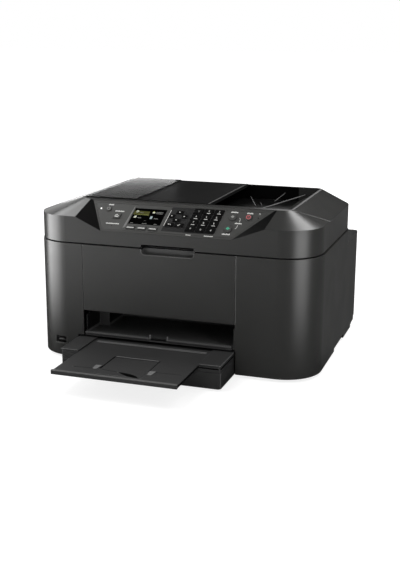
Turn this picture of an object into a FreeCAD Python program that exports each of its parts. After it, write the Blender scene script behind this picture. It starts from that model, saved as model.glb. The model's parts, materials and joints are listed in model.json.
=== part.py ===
import FreeCAD, Part
import math
import os
import re
import Sketcher

# A desktop inkjet all-in-one printer with document feeder, as separate pieces.
# Millimetres, +X to the right, +Y to the back, +Z up, origin under the middle of the whole.

# Driving sizes: each name becomes an alias in the sheet
SIZES = {
    # whole printer
    "body_width": 463.0,
    "overall_depth": 389.0,
    "overall_height": 260.0,
    "tray_reach": 160.0,
    "wall": 2.5,
    "fit_gap": 0.3,
    "pin_clearance": 0.05,
    "overcut": 1.0,
    "arc_share": 0.98,
    # lower body
    "body_bottom": 5.0,
    "upper_height": 69.0,
    "rear_unit_depth": 49.0,
    "front_radius": 60.0,
    "rear_edge_radius": 6.0,
    "rear_return": 12.0,
    "step_drop": 26.0,
    "top_flange": 12.0,
    "grip_start": 162.0,
    "grip_length": 78.0,
    "grip_height": 7.0,
    "heel_length": 32.0,
    "bay_left": 141.5,
    "bay_right": 107.8,
    "usb_inset": 38.5,
    "usb_width": 20.0,
    "usb_low": 25.5,
    "usb_height": 11.0,
    "usb_depth": 18.0,
    "usb_slot_width": 12.0,
    "usb_slot_height": 4.8,
    "floor_thickness": 3.0,
    "foot_radius": 9.0,
    "foot_inset": 27.0,
    "foot_front": 45.0,
    "foot_rear_inset": 28.0,
    # rear unit
    "rear_inset": 6.5,
    "rear_radius": 10.0,
    "rear_cover_left": 120.0,
    "rear_cover_right": 80.0,
    "rear_cover_low": 40.0,
    "rear_cover_high": 132.0,
    "rear_cover_thickness": 3.0,
    "rear_grip_width": 40.0,
    "rear_grip_depth": 14.0,
    "socket_depth": 14.0,
    "socket_wall": 1.0,
    "inlet_inset": 46.5,
    "inlet_width": 21.0,
    "inlet_low": 52.0,
    "inlet_height": 14.0,
    "network_inset": 73.5,
    "network_width": 16.0,
    "network_low": 48.0,
    "network_height": 14.0,
    "usb_rear_inset": 49.5,
    "usb_rear_width": 13.0,
    "usb_rear_low": 48.0,
    "usb_rear_height": 12.0,
    "phone_line_inset": 73.5,
    "phone_line_width": 13.0,
    "phone_line_low": 76.0,
    "phone_line_height": 12.0,
    "phone_out_inset": 49.5,
    "phone_out_width": 13.0,
    "phone_out_low": 76.0,
    "phone_out_height": 12.0,
    # front cover
    "cover_bottom": 84.5,
    "cover_gap": 0.8,
    "cover_thickness": 3.0,
    "cover_return": 5.0,
    "cover_hinge_depth": 8.5,
    "cover_hinge_height": 90.0,
    "cover_pin_radius": 2.0,
    "ear_radius": 4.8,
    "arm_start": 7.5,
    "arm_end": 22.5,
    "cover_rib_inset": 30.0,
    "cover_rib_width": 1.5,
    "recess_half_width": 43.0,
    "recess_drop": 9.5,
    "recess_rise": 6.5,
    "recess_depth": 11.0,
    "recess_radius": 6.0,
    # paper exit
    "sill_top": 48.8,
    "sill_bar": 3.8,
    "sill_bottom": 42.5,
    "sill_depth": 7.0,
    "sill_setback": 1.5,
    "sill_round": 1.8,
    "sill_left": 140.0,
    "sill_right": 103.0,
    "sill_notch_left": 31.6,
    "sill_notch_right": 0.8,
    "stop_post": 1.8,
    "stop_gap": 0.8,
    "stop_rise": 4.0,
    "stop_depth": 3.0,
    "pillar_width": 20.0,
    "pillar_front": 54.5,
    "exit_depth": 118.0,
    "platen_top": 60.5,
    "platen_depth": 200.0,
    "platen_rib": 5.0,
    "platen_rib_inset": 10.0,
    "platen_rib_width": 1.25,
    "platen_rib_pitch": 20.0,
    "side_frame_top": 76.0,
    "roller_height": 68.0,
    "exit_roller_depth": 128.0,
    "feed_roller_depth": 192.0,
    "roller_radius": 6.0,
    "shaft_radius": 3.0,
    "gear_radius": 12.0,
    "gear_width": 5.0,
    "shaft_end": 1.0,
    "sleeve_inset": 15.0,
    # cassette
    "cassette_left": 150.5,
    "cassette_right": 107.5,
    "cassette_side_gap": 2.5,
    "cassette_bottom": 3.5,
    "cassette_top": 33.0,
    "cassette_reach": 67.0,
    "cassette_overlap": 110.0,
    "cassette_base_front": 45.0,
    "cassette_rear_gap": 5.0,
    "cassette_floor": 2.2,
    "cassette_radius": 5.0,
    "rail_start": 180.0,
    "rail_top": 29.7,
    "rail_thickness": 2.7,
    "rail_width": 4.0,
    "runner_height": 3.0,
    "runner_width": 4.8,
    "bay_rear_gap": 45.0,
    "shoulder_top": 40.0,
    "cassette_split": 28.2,
    "groove_low": 35.0,
    "groove_height": 1.0,
    "groove_depth": 1.4,
    "cassette_seam": 0.6,
    "channel_plate": 2.5,
    "channel_wall": 3.0,
    "slab_left": 120.5,
    "slab_right": 73.0,
    "slab_thickness": 4.4,
    "slab_tail": 10.0,
    "slab_gap": 0.5,
    "slab_radius": 6.0,
    "lip_rise": 1.4,
    "lip_depth": 5.0,
    "cover_tail": 40.0,
    "support_left": 57.0,
    "support_right": 13.0,
    "support_rear": 67.5,
    "support_front": 149.5,
    "support_thickness": 3.1,
    "support_hinge": 146.5,
    "support_pin_radius": 1.2,
    "support_pin_length": 2.5,
    "support_slot": 10.0,
    "support_slot_lead": 2.0,
    "tab_place": 22.0,
    "tab_length": 7.0,
    "tab_width": 6.0,
    "tab_gap": 3.0,
    # print engine
    "rail_depth": 172.0,
    "rail_sheet": 2.5,
    "rail_end_gap": 16.5,
    "rail_low": 78.0,
    "rail_room": 16.0,
    "rail_flange": 14.0,
    "rail_lip": 9.0,
    "rail_leg": 25.0,
    "carriage_park": 119.5,
    "carriage_width": 110.0,
    "carriage_front": 94.0,
    "carriage_low": 80.0,
    "carriage_room": 6.0,
    "carriage_wall": 3.0,
    "carriage_arm": 3.2,
    "tank_front": 92.0,
    "tank_room": 6.7,
    "tank_gap": 0.9,
    "black_tank_width": 35.0,
    "colour_tank_width": 21.5,
    "pulley_radius": 6.0,
    "pulley_inset": 15.0,
    "belt_drop": 34.0,
    "belt_width": 6.0,
    "belt_thickness": 1.4,
    "motor_radius": 16.0,
    "motor_length": 30.0,
    "supply_front": 60.0,
    "supply_length": 100.0,
    "supply_height": 38.0,
    "board_gap": 7.5,
    "board_side_gap": 8.5,
    "board_rear_gap": 17.0,
    "board_length": 118.0,
    "board_thickness": 1.6,
    "standoff_height": 6.0,
    "standoff_half": 3.0,
    # scanner
    "rim_inset": 8.5,
    "rim_front_gap": 4.0,
    "rim_rear_gap": 6.0,
    "pan_inset": 27.5,
    "pan_front": 45.0,
    "pan_rear_setback": 22.0,
    "pan_drop": 23.0,
    "glass_rise": 8.0,
    "glass_thickness": 3.0,
    "glass_ledge": 4.0,
    "scan_rail": 6.0,
    "scan_rail_height": 4.0,
    "scan_width": 24.0,
    "scan_inset": 8.0,
    "scan_lift": 1.5,
    # upper unit outer form
    "upper_inset": 2.0,
    "upper_setback": 42.0,
    "seam_gap": 2.0,
    "shoulder_rise": 24.0,
    "rim_drop": 2.0,
    "rim_left": 160.0,
    "rim_right": 185.0,
    "rim_front": 32.0,
    "rim_rear_setback": 38.0,
    "rim_radius": 14.0,
    "upper_rear_radius": 50.0,
    "split_depth": 40.0,
    "split_side_depth": 98.0,
    "split_left": 158.0,
    "split_right": 186.0,
    "lid_gap": 0.8,
    # control panel
    "panel_lip": 2.0,
    "panel_rise": 41.5,
    "panel_left_low": 110.0,
    "panel_left_high": 135.0,
    "panel_right_low": 101.0,
    "panel_right_high": 157.5,
    "facet_left": 2.18,
    "facet_right": 2.6,
    "facet_reach": 60.0,
    "hollow_left": 146.0,
    "hollow_right": 155.0,
    "plate_inset": 3.6,
    "plate_flange": 2.5,
    "plate_flange_thickness": 1.5,
    "slant": 0.25,
    "key_rise": 1.2,
    "key_flange": 0.4,
    "key_flange_thickness": 1.0,
    "screen_u": -38.2,
    "screen_w": 29.5,
    "screen_width": 52.0,
    "screen_height": 27.0,
    "screen_sink": 0.3,
    "screen_depth": 5.0,
    # lid
    "plate_rise": 12.0,
    "plate_thickness": 3.0,
    "hinge_setback": 7.5,
    "hinge_pin_radius": 3.0,
    "hinge_ear_place": 171.0,
    "hinge_ear_width": 6.0,
    "hinge_ear_radius": 4.5,
    "hinge_block_width": 18.0,
    "hinge_block_drop": 3.6,
    "hinge_gap": 0.5,
    "hinge_slot_rise": 11.0,
    "rear_skirt_rise": 7.5,
    "pad_left": 112.0,
    "pad_inset": 16.5,
    "pad_front": 50.0,
    "pad_rear_gap": 4.0,
    "strip_left": 150.0,
    "strip_width": 25.0,
    # document feeder
    "well_left": 156.2,
    "well_right": 181.0,
    "well_rear_wall": 3.0,
    "well_depth": 24.0,
    "well_wall": 3.0,
    "ramp_start": 142.0,
    "ramp_drop": 3.0,
    "feeder_left": 154.0,
    "feeder_right": 68.3,
    "feeder_depth": 10.0,
    "feeder_radius": 4.0,
    "feeder_hinge_place": 151.3,
    "feeder_hinge_drop": 5.0,
    "flap_gap": 0.5,
    "top_joint": 0.6,
    "doc_right": 54.0,
    "doc_drop": 1.0,
    "doc_thickness": 4.5,
    "doc_hinge_place": 50.5,
    "doc_hinge_rise": 1.3,
    "top_pin_radius": 1.2,
    "feeder_pin_radius": 2.0,
    "top_pin_length": 1.2,
    "notch_place": 172.0,
    "notch_radius": 5.0,
    "guide_left": 50.0,
    "guide_width": 60.0,
    "guide_thickness": 4.0,
    "guide_height": 11.0,
    "guide_edge": 18.0,
    "adf_place": 112.0,
    "adf_drop": 17.0,
    "adf_radius": 8.0,
    "adf_length": 75.0,
}

# Number keys: place of the first key, steps and cap size in the slope of the panel
PAD = {
    "pad_u": 41.6,
    "pad_w": 44.0,
    "pad_step_u": 16.2,
    "pad_step_w": 10.2,
    "pad_key_width": 14.4,
    "pad_key_height": 8.4,
}
SIZES.update(PAD)

# Other keys: place in the slope of the panel, width and height; height 0 makes a round key
KEYS = {
    "arrow_up": (12.3, 40.5, 11.0, 5.0),
    "arrow_left": (0.6, 33.6, 8.0, 5.4),
    "arrow_right": (20.8, 33.6, 8.0, 5.4),
    "arrow_down": (8.9, 26.7, 11.0, 5.0),
    "back_button": (-0.6, 18.6, 12.6, 5.6),
    "ok_button": (14.6, 18.6, 14.0, 5.6),
    "power_button": (-105.2, 39.2, 8.6, 0.0),
    "home_button": (-89.0, 27.5, 12.0, 8.0),
    "function_button_left": (-62.0, 9.2, 13.0, 5.0),
    "function_button_middle": (-43.6, 9.2, 13.0, 5.0),
    "function_button_right": (-25.2, 9.2, 13.0, 5.0),
    "black_start_button": (96.5, 38.6, 12.0, 0.0),
    "colour_start_button": (92.7, 18.6, 12.0, 0.0),
    "stop_button": (120.8, 39.7, 11.0, 0.0),
}
for key, (place_u, place_w, width, height) in KEYS.items():
    SIZES[key + "_u"] = place_u
    SIZES[key + "_w"] = place_w
    SIZES[key + "_width"] = width
    if height:
        SIZES[key + "_height"] = height

# Places worked out from the driving sizes
PLACES = {
    "half_width": "body_width / 2",
    "front_y": "(tray_reach - overall_depth) / 2",
    "rear_y": "front_y + overall_depth",
    "side_rear_y": "rear_y - rear_unit_depth",
    "upper_rear_y": "side_rear_y - upper_setback",
    "rim_height": "overall_height - rim_drop",
    "shoulder_start": "rim_height - shoulder_rise",
    "body_top": "overall_height - upper_height",
    "step_height": "body_top - step_drop",
    "upper_half": "half_width - upper_inset",
    "upper_bottom": "body_top + seam_gap",
    "inner_half": "half_width - wall",
    "bay_low_left": "cassette_left + cassette_side_gap",
    "bay_low_right": "cassette_right + cassette_side_gap",
    "floor_top": "body_bottom + floor_thickness",
    "usb_left": "half_width - usb_inset",
    "inlet_x": "inlet_inset - half_width",
    "network_x": "half_width - network_inset",
    "usb_rear_x": "half_width - usb_rear_inset",
    "phone_line_x": "half_width - phone_line_inset",
    "phone_out_x": "half_width - phone_out_inset",
    "recess_bottom": "body_top - recess_drop",
    "recess_top": "body_top + recess_rise",
    "sill_low": "sill_top - sill_bar",
    "bay_rear_y": "side_rear_y - bay_rear_gap",
    "cassette_rear_y": "bay_rear_y - cassette_rear_gap",
    "pan_half_width": "half_width - pan_inset",
    "pan_rear_y": "upper_rear_y - pan_rear_setback",
    "pan_bottom": "body_top - pan_drop",
    "glass_top": "body_top + glass_rise",
    "glass_low": "glass_top - glass_thickness",
    "scan_park": "pan_half_width - scan_inset",
    "scan_bottom": "pan_bottom + wall + scan_lift",
    "rail_half_length": "half_width - rail_end_gap",
    "rail_high": "pan_bottom - rail_room",
    "pulley_place": "rail_half_length - pulley_inset",
    "belt_height": "rail_high - belt_drop",
    "carriage_left": "half_width - carriage_park",
    "carriage_top": "rail_high - carriage_room",
    "board_left": "half_width - board_gap",
    "board_width": "board_left - bay_low_left - wall - board_side_gap",
    "board_rear_y": "side_rear_y - board_rear_gap",
    "split_y": "front_y + split_depth",
    "split_side_y": "front_y + split_side_depth",
    "lid_front_y": "split_y + lid_gap",
    "well_front_y": "lid_front_y + well_wall",
    "rim_rear_y": "upper_rear_y - rim_rear_setback",
    "well_rear_y": "rim_rear_y - well_rear_wall",
    "well_floor": "rim_height - well_depth",
    "ramp_top": "rim_height - ramp_drop",
    "skirt_top": "well_floor - wall",
    "plate_low": "body_top + plate_rise",
    "pad_right": "pan_half_width - pad_inset",
    "pad_rear_y": "pan_rear_y - pad_rear_gap",
    "flap_front_y": "well_front_y + flap_gap",
    "flap_rear_y": "well_rear_y - flap_gap",
    "feeder_low": "overall_height - feeder_depth",
    "feeder_hinge_height": "overall_height - feeder_hinge_drop",
    "doc_low": "overall_height - doc_drop - doc_thickness",
    "doc_hinge_height": "doc_low + doc_hinge_rise",
    "adf_height": "overall_height - adf_drop",
    "panel_bottom": "rim_height - panel_lip - panel_rise",
    "panel_angle": "atan(panel_rise / rim_front)",
    "panel_length": "sqrt(panel_rise * panel_rise + rim_front * rim_front)",
    "slab_low": "cassette_top + fit_gap",
    "slab_top": "slab_low + slab_thickness",
    "support_hinge_height": "slab_top - support_thickness / 2",
    "scan_rail_y": "(front_y + pan_front + pan_rear_y) / 2",
    "hinge_y": "upper_rear_y - hinge_setback",
    "hinge_height": "plate_low",
    "hinge_slot_top": "plate_low + hinge_slot_rise",
    "tank_low": "carriage_low + carriage_wall + fit_gap",
    "tank_height": "carriage_top - tank_room - tank_low",
}

doc = FreeCAD.newDocument("InkjetPrinter")
sheet = doc.addObject("Spreadsheet::Sheet", "Sizes")
for row, (alias, number) in enumerate(SIZES.items(), start=1):
    sheet.set(f"A{row}", alias)
    sheet.set(f"B{row}", str(number))
    sheet.setAlias(f"B{row}", alias)
doc.recompute()

NODES = []
PLANES = {"x": "YZ_Plane", "y": "XZ_Plane", "z": "XY_Plane"}
SQUARE = (None, None, None, None)
PLATEN_RIBS = 12
COVER_RIBS = 5
EXIT_SLEEVES = 4


# Expressions
def ref(text):
    """A formula of size and place names, written out for the expression engine."""
    def swap(match):
        word = match.group(0)
        if word in PLACES:
            return "(" + ref(PLACES[word]) + ")"
        if word in SIZES:
            return "Sizes." + word
        return word
    return re.sub(r"[a-z][a-z_0-9]*", swap, str(text))


def value(text):
    """The number that a formula gives with the sheet's present sizes."""
    result = sheet.evalExpression(ref(text))
    return float(getattr(result, "Value", result))


def bind(item, name, text):
    """Binds one property of a document object to a formula."""
    item.setExpression(name, ref(text))


# Sketches
def sketch_on(body, name, axis, level):
    """An empty sketch square to an axis, at a level along it."""
    plane = next(item for item in body.Origin.OriginFeatures if item.Role == PLANES[axis])
    sketch = body.newObject("Sketcher::SketchObject", name + "_sketch")
    sketch.AttachmentSupport = [(plane, "")]
    sketch.MapMode = "FlatFace"
    sign = "-" if axis == "y" else ""
    bind(sketch, "AttachmentOffset.Base.z", f"{sign}({level})")
    return sketch


def fix(sketch, kind, geometry, point, text):
    """Holds a point at a bound distance from the sketch's origin."""
    row = sketch.addConstraint(Sketcher.Constraint(kind, -1, 1, geometry, point, value(text)))
    bind(sketch, f"Constraints[{row}]", text)


def fix_radius(sketch, geometry, text):
    """Holds the radius of an arc or circle at a bound size."""
    row = sketch.addConstraint(Sketcher.Constraint("Radius", geometry, value(text)))
    bind(sketch, f"Constraints[{row}]", text)


def draw_rectangle(sketch, left, right, low, high, radii=SQUARE):
    """A rectangle whose corners, from low left round to high left, may be rounded."""
    x0, x1, y0, y1 = (value(text) for text in (left, right, low, high))
    r_low_left, r_low_right, r_high_right, r_high_left = (value(r) if r else 0.0 for r in radii)
    ends = [
        ((x0 + r_low_left, y0), (x1 - r_low_right, y0)),
        ((x1, y0 + r_low_right), (x1, y1 - r_high_right)),
        ((x1 - r_high_right, y1), (x0 + r_high_left, y1)),
        ((x0, y1 - r_high_left), (x0, y0 + r_low_left)),
    ]
    lines = [
        sketch.addGeometry(Part.LineSegment(FreeCAD.Vector(*a, 0), FreeCAD.Vector(*b, 0)))
        for a, b in ends
    ]
    centres = [
        (x1 - r_low_right, y0 + r_low_right),
        (x1 - r_high_right, y1 - r_high_right),
        (x0 + r_high_left, y1 - r_high_left),
        (x0 + r_low_left, y0 + r_low_left),
    ]
    turns = [radii[1], radii[2], radii[3], radii[0]]
    for number, (centre, radius) in enumerate(zip(centres, turns)):
        line = lines[number]
        following = lines[(number + 1) % 4]
        kind = "Horizontal" if number % 2 == 0 else "Vertical"
        sketch.addConstraint(Sketcher.Constraint(kind, line))
        if radius is None:
            sketch.addConstraint(Sketcher.Constraint("Coincident", line, 2, following, 1))
            continue
        circle = Part.Circle(FreeCAD.Vector(*centre, 0), FreeCAD.Vector(0, 0, 1), value(radius))
        start = (number - 1) * math.pi / 2
        arc = sketch.addGeometry(Part.ArcOfCircle(circle, start, start + math.pi / 2))
        sketch.addConstraint(Sketcher.Constraint("Tangent", line, 2, arc, 1))
        sketch.addConstraint(Sketcher.Constraint("Tangent", arc, 2, following, 1))
        fix_radius(sketch, arc, radius)
    fix(sketch, "DistanceY", lines[0], 1, low)
    fix(sketch, "DistanceX", lines[1], 1, right)
    fix(sketch, "DistanceY", lines[2], 1, high)
    fix(sketch, "DistanceX", lines[3], 1, left)


def draw_polygon(sketch, points):
    """A closed outline of straight edges through bound points."""
    spots = [FreeCAD.Vector(value(x), value(y), 0) for x, y in points]
    lines = [
        sketch.addGeometry(Part.LineSegment(spot, spots[(number + 1) % len(spots)]))
        for number, spot in enumerate(spots)
    ]
    for number, line in enumerate(lines):
        sketch.addConstraint(
            Sketcher.Constraint("Coincident", line, 2, lines[(number + 1) % len(lines)], 1))
        fix(sketch, "DistanceX", line, 1, points[number][0])
        fix(sketch, "DistanceY", line, 1, points[number][1])


def draw_circle(sketch, centre_x, centre_y, radius):
    """A circle about a bound centre."""
    centre = FreeCAD.Vector(value(centre_x), value(centre_y), 0)
    circle = sketch.addGeometry(Part.Circle(centre, FreeCAD.Vector(0, 0, 1), value(radius)))
    fix(sketch, "DistanceX", circle, 3, centre_x)
    fix(sketch, "DistanceY", circle, 3, centre_y)
    fix_radius(sketch, circle, radius)


# Features
def new_body(label, keep=True):
    """A body named after its piece; kept ones are written out."""
    body = doc.addObject("PartDesign::Body", label)
    body.Label = label
    if keep:
        NODES.append(body)
    return body


def extrude(body, name, axis, sketch, length, cut):
    """Pads a sketch towards the rising axis, or pockets it: back from the front, else falling."""
    kind = "PartDesign::Pocket" if cut else "PartDesign::Pad"
    feature = body.newObject(kind, name)
    feature.Profile = sketch
    bind(feature, "Length", length)
    feature.Reversed = axis == "y" and not cut
    return feature


def start_level(axis, low, high, cut):
    """Where the sketch of an extrusion lies."""
    return high if cut and axis != "y" else low


def block(body, name, axis, spans, radii=SQUARE, cut=False):
    """A rectangular pad or pocket between bounds in x, y and z, rounded about one axis."""
    x0, x1, y0, y1, z0, z1 = spans
    low, high = {"x": (x0, x1), "y": (y0, y1), "z": (z0, z1)}[axis]
    edges = {"x": (y0, y1, z0, z1), "y": (x0, x1, z0, z1), "z": (x0, x1, y0, y1)}[axis]
    sketch = sketch_on(body, name, axis, start_level(axis, low, high, cut))
    draw_rectangle(sketch, *edges, radii)
    return extrude(body, name, axis, sketch, f"({high}) - ({low})", cut)


def prism(body, name, axis, points, low, high, cut=False):
    """A pad or pocket of a straight-edged outline."""
    sketch = sketch_on(body, name, axis, start_level(axis, low, high, cut))
    draw_polygon(sketch, points)
    return extrude(body, name, axis, sketch, f"({high}) - ({low})", cut)


def rod(body, name, axis, centre, radius, low, high, cut=False):
    """A round pad or pocket along an axis."""
    sketch = sketch_on(body, name, axis, start_level(axis, low, high, cut))
    draw_circle(sketch, centre[0], centre[1], radius)
    return extrude(body, name, axis, sketch, f"({high}) - ({low})", cut)


def row_of(body, feature, name, axis, step, count):
    """Repeats a feature along one of the body's axes."""
    line = next(item for item in body.Origin.OriginFeatures if item.Role == axis)
    doc.recompute()
    pattern = body.newObject("PartDesign::LinearPattern", name)
    pattern.Originals = [feature]
    pattern.Direction = (line, [""])
    bind(pattern, "Length", f"({step}) * {count - 1}")
    pattern.Occurrences = count
    body.Tip = pattern
    return pattern


def group(label, bodies):
    """Several like solids kept as one piece."""
    compound = doc.addObject("Part::Compound", label)
    compound.Label = label
    compound.Links = bodies
    NODES.append(compound)
    return compound


# Lower body
def side_cover(label, side):
    """One side of the lower body with its front column and rounded front corner."""
    body = new_body(label)
    left = side < 0
    outer = ("-half_width", "-bay_left - cover_gap") if left else ("bay_right + cover_gap", "half_width")

    def corners(front, rear):
        return (front, None, None, rear) if left else (None, front, rear, None)

    def inside(inset):
        if left:
            return (f"-half_width + {inset}", "-bay_left + overcut")
        return ("bay_right - overcut", f"half_width - ({inset})")

    block(body, "lower", "z", (*outer, "front_y", "side_rear_y", "body_bottom", "step_height"),
          corners("front_radius", "rear_edge_radius"))
    block(body, "upper", "z", (*outer, "front_y", "upper_rear_y", "step_height - overcut", "body_top"),
          corners("front_radius", "upper_rear_radius"))
    block(body, "hollow", "z",
          (*inside("wall"), "front_y + wall", "side_rear_y - wall",
           "body_bottom - overcut", "step_height - wall"),
          corners("front_radius - wall", "rear_edge_radius - wall"), cut=True)
    block(body, "rear_opening", "y",
          (*inside("wall + rear_return"), "side_rear_y - 2 * wall", "side_rear_y + overcut",
           "body_bottom - overcut", "step_height - wall"), cut=True)
    block(body, "upper_hollow", "z",
          (*inside("wall"), "front_y + wall", "upper_rear_y - wall",
           "step_height - wall - overcut", "body_top - wall"),
          corners("front_radius - wall", "upper_rear_radius - wall"), cut=True)
    block(body, "top_opening", "z",
          (*inside("wall + top_flange"), "front_y + wall + top_flange",
           "upper_rear_y - wall - top_flange", "body_top - wall - overcut", "body_top + overcut"),
          corners("front_radius - wall - top_flange", "upper_rear_radius - wall - top_flange"), cut=True)
    bay = ("-bay_low_left", "-bay_left + overcut") if left else ("bay_right - overcut", "bay_low_right")
    block(body, "cassette_gap", "y",
          (*bay, "front_y - overcut", "front_y + wall + overcut", "body_bottom - overcut",
           "sill_bottom + fit_gap"), cut=True)
    edge = ("-half_width - overcut", "-half_width + wall + overcut") if left else (
        "half_width - wall - overcut", "half_width + overcut")
    block(body, "grip", "x",
          (*edge, "front_y + grip_start", "front_y + grip_start + grip_length",
           "body_bottom - overcut", "body_bottom + grip_height"), cut=True)
    block(body, "heel", "x",
          (*edge, "side_rear_y - heel_length", "side_rear_y + overcut", "body_bottom - overcut",
           "body_bottom + grip_height"), cut=True)
    if left:
        block(body, "usb_window", "y",
              ("-usb_left", "-usb_left + usb_width", "front_y - overcut", "front_y + usb_depth",
               "usb_low", "usb_low + usb_height"), cut=True)


def base_frame():
    """The floor pan, open below the cassette, with the walls and rails that guide it."""
    body = new_body("base_frame")
    edge = "front_radius - wall - fit_gap"
    block(body, "floor", "z",
          ("-inner_half + fit_gap", "inner_half - fit_gap", "front_y + wall + fit_gap",
           "side_rear_y - wall - fit_gap", "body_bottom", "floor_top"),
          (edge, edge, "rear_edge_radius", "rear_edge_radius"))
    block(body, "walls", "z",
          ("-bay_low_left - wall", "bay_low_right + wall", "front_y + 2 * wall",
           "bay_rear_y + wall", "floor_top - overcut", "sill_bottom"))
    block(body, "bay", "z",
          ("-bay_low_left", "bay_low_right", "front_y - overcut", "bay_rear_y",
           "body_bottom - overcut", "sill_bottom + overcut"), cut=True)
    rails = ("front_y + rail_start", "bay_rear_y", "rail_top - rail_thickness", "rail_top")
    block(body, "rail_left", "y", ("-bay_low_left - overcut", "-bay_low_left + rail_width", *rails))
    block(body, "rail_right", "y", ("bay_low_right - rail_width", "bay_low_right + overcut", *rails))


def rubber_feet():
    """Four round feet under the floor pan."""
    feet = []
    for side, x in (("left", "-half_width + foot_inset"), ("right", "half_width - foot_inset")):
        for end, y in (("front", "front_y + foot_front"), ("rear", "side_rear_y - foot_rear_inset")):
            foot = new_body(f"foot_{end}_{side}", keep=False)
            rod(foot, "foot", "z", (x, y), "foot_radius", "0", "body_bottom")
            feet.append(foot)
    group("rubber_feet", feet)


def rear_housing():
    """The rear unit: an inset box behind the side covers, and the wall above it."""
    body = new_body("rear_housing")
    half = "half_width - rear_inset"
    block(body, "box", "z",
          (f"-({half})", half, "side_rear_y + fit_gap", "rear_y", "floor_top", "step_height"),
          (None, None, "rear_radius", "rear_radius"))
    block(body, "hollow", "y",
          (f"-({half}) + wall", f"{half} - wall", "side_rear_y - overcut", "rear_y - wall",
           "floor_top + wall", "step_height - wall"), cut=True)
    block(body, "tongue", "z",
          ("-bay_left", "bay_right", "upper_rear_y - wall", "side_rear_y + 2 * wall",
           "step_height - wall", "step_height"))
    block(body, "upper_wall", "z",
          ("-bay_left", "bay_right", "upper_rear_y - wall", "upper_rear_y", "step_height - overcut",
           "body_top"))
    block(body, "access", "y",
          ("-rear_cover_left", "rear_cover_right", "rear_y - 2 * wall", "rear_y + overcut",
           "rear_cover_low", "rear_cover_high"), ("wall", "wall", "wall", "wall"), cut=True)
    for name in REAR_SOCKETS:
        block(body, name + "_window", "y",
              (*socket_spans(name, "fit_gap")[:2], "rear_y - 2 * wall", "rear_y + overcut",
               *socket_spans(name, "fit_gap")[2:]), cut=True)


def rear_cover():
    """The removable rear cover with two finger grips and the paper turn behind it."""
    body = new_body("rear_cover")
    inner = ("-rear_cover_left + fit_gap", "rear_cover_right - fit_gap")
    block(body, "plate", "y",
          (*inner, "rear_y - rear_cover_thickness", "rear_y", "rear_cover_low + fit_gap",
           "rear_cover_high - fit_gap"), ("wall", "wall", "wall", "wall"))
    for side, x in (("left", "-rear_cover_left + rear_grip_width / 2 + 2 * wall"),
                    ("right", "rear_cover_right - rear_grip_width / 2 - 2 * wall")):
        middle = "(rear_cover_low + rear_cover_high) / 2"
        spread = "rear_grip_width / 2"
        block(body, f"grip_box_{side}", "y",
              (f"{x} - {spread}", f"{x} + {spread}", "rear_y - rear_grip_depth - wall",
               "rear_y - rear_cover_thickness / 2", f"{middle} - {spread}", f"{middle} + {spread}"))
        block(body, f"grip_{side}", "x",
              (f"{x} - {spread} + wall", f"{x} + {spread} - wall", "rear_y - rear_grip_depth",
               "rear_y + overcut", f"{middle} - {spread} + wall", f"{middle} + {spread} - wall"),
              ("rear_radius", None, None, "rear_radius"), cut=True)


# Sockets in the rear wall
REAR_SOCKETS = ("inlet", "network", "usb_rear", "phone_line", "phone_out")


def socket_spans(name, grow):
    """A rear socket's bounds in x and z, grown by an amount."""
    return (f"{name}_x - {name}_width / 2 - ({grow})", f"{name}_x + {name}_width / 2 + ({grow})",
            f"{name}_low - ({grow})", f"{name}_low + {name}_height + ({grow})")


def sockets():
    """The front memory-stick socket and the sockets in the rear wall."""
    items = []
    front = new_body("usb_front", keep=False)
    block(front, "shell", "y",
          ("-usb_left + fit_gap", "-usb_left + usb_width - fit_gap", "front_y + 2 * wall",
           "front_y + usb_depth", "usb_low + fit_gap", "usb_low + usb_height - fit_gap"))
    block(front, "slot", "y",
          ("-usb_left + (usb_width - usb_slot_width) / 2", "-usb_left + (usb_width + usb_slot_width) / 2",
           "front_y + wall", "front_y + usb_depth - wall", "usb_low + (usb_height - usb_slot_height) / 2",
           "usb_low + (usb_height + usb_slot_height) / 2"), cut=True)
    items.append(front)
    for name in REAR_SOCKETS:
        socket = new_body(name, keep=False)
        outer = socket_spans(name, "0")
        inner = socket_spans(name, "-socket_wall")
        block(socket, "shell", "y", (*outer[:2], "rear_y - socket_depth", "rear_y", *outer[2:]))
        block(socket, "hole", "y",
              (*inner[:2], "rear_y - socket_depth + wall", "rear_y + overcut", *inner[2:]), cut=True)
        items.append(socket)
    group("sockets", items)


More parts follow.
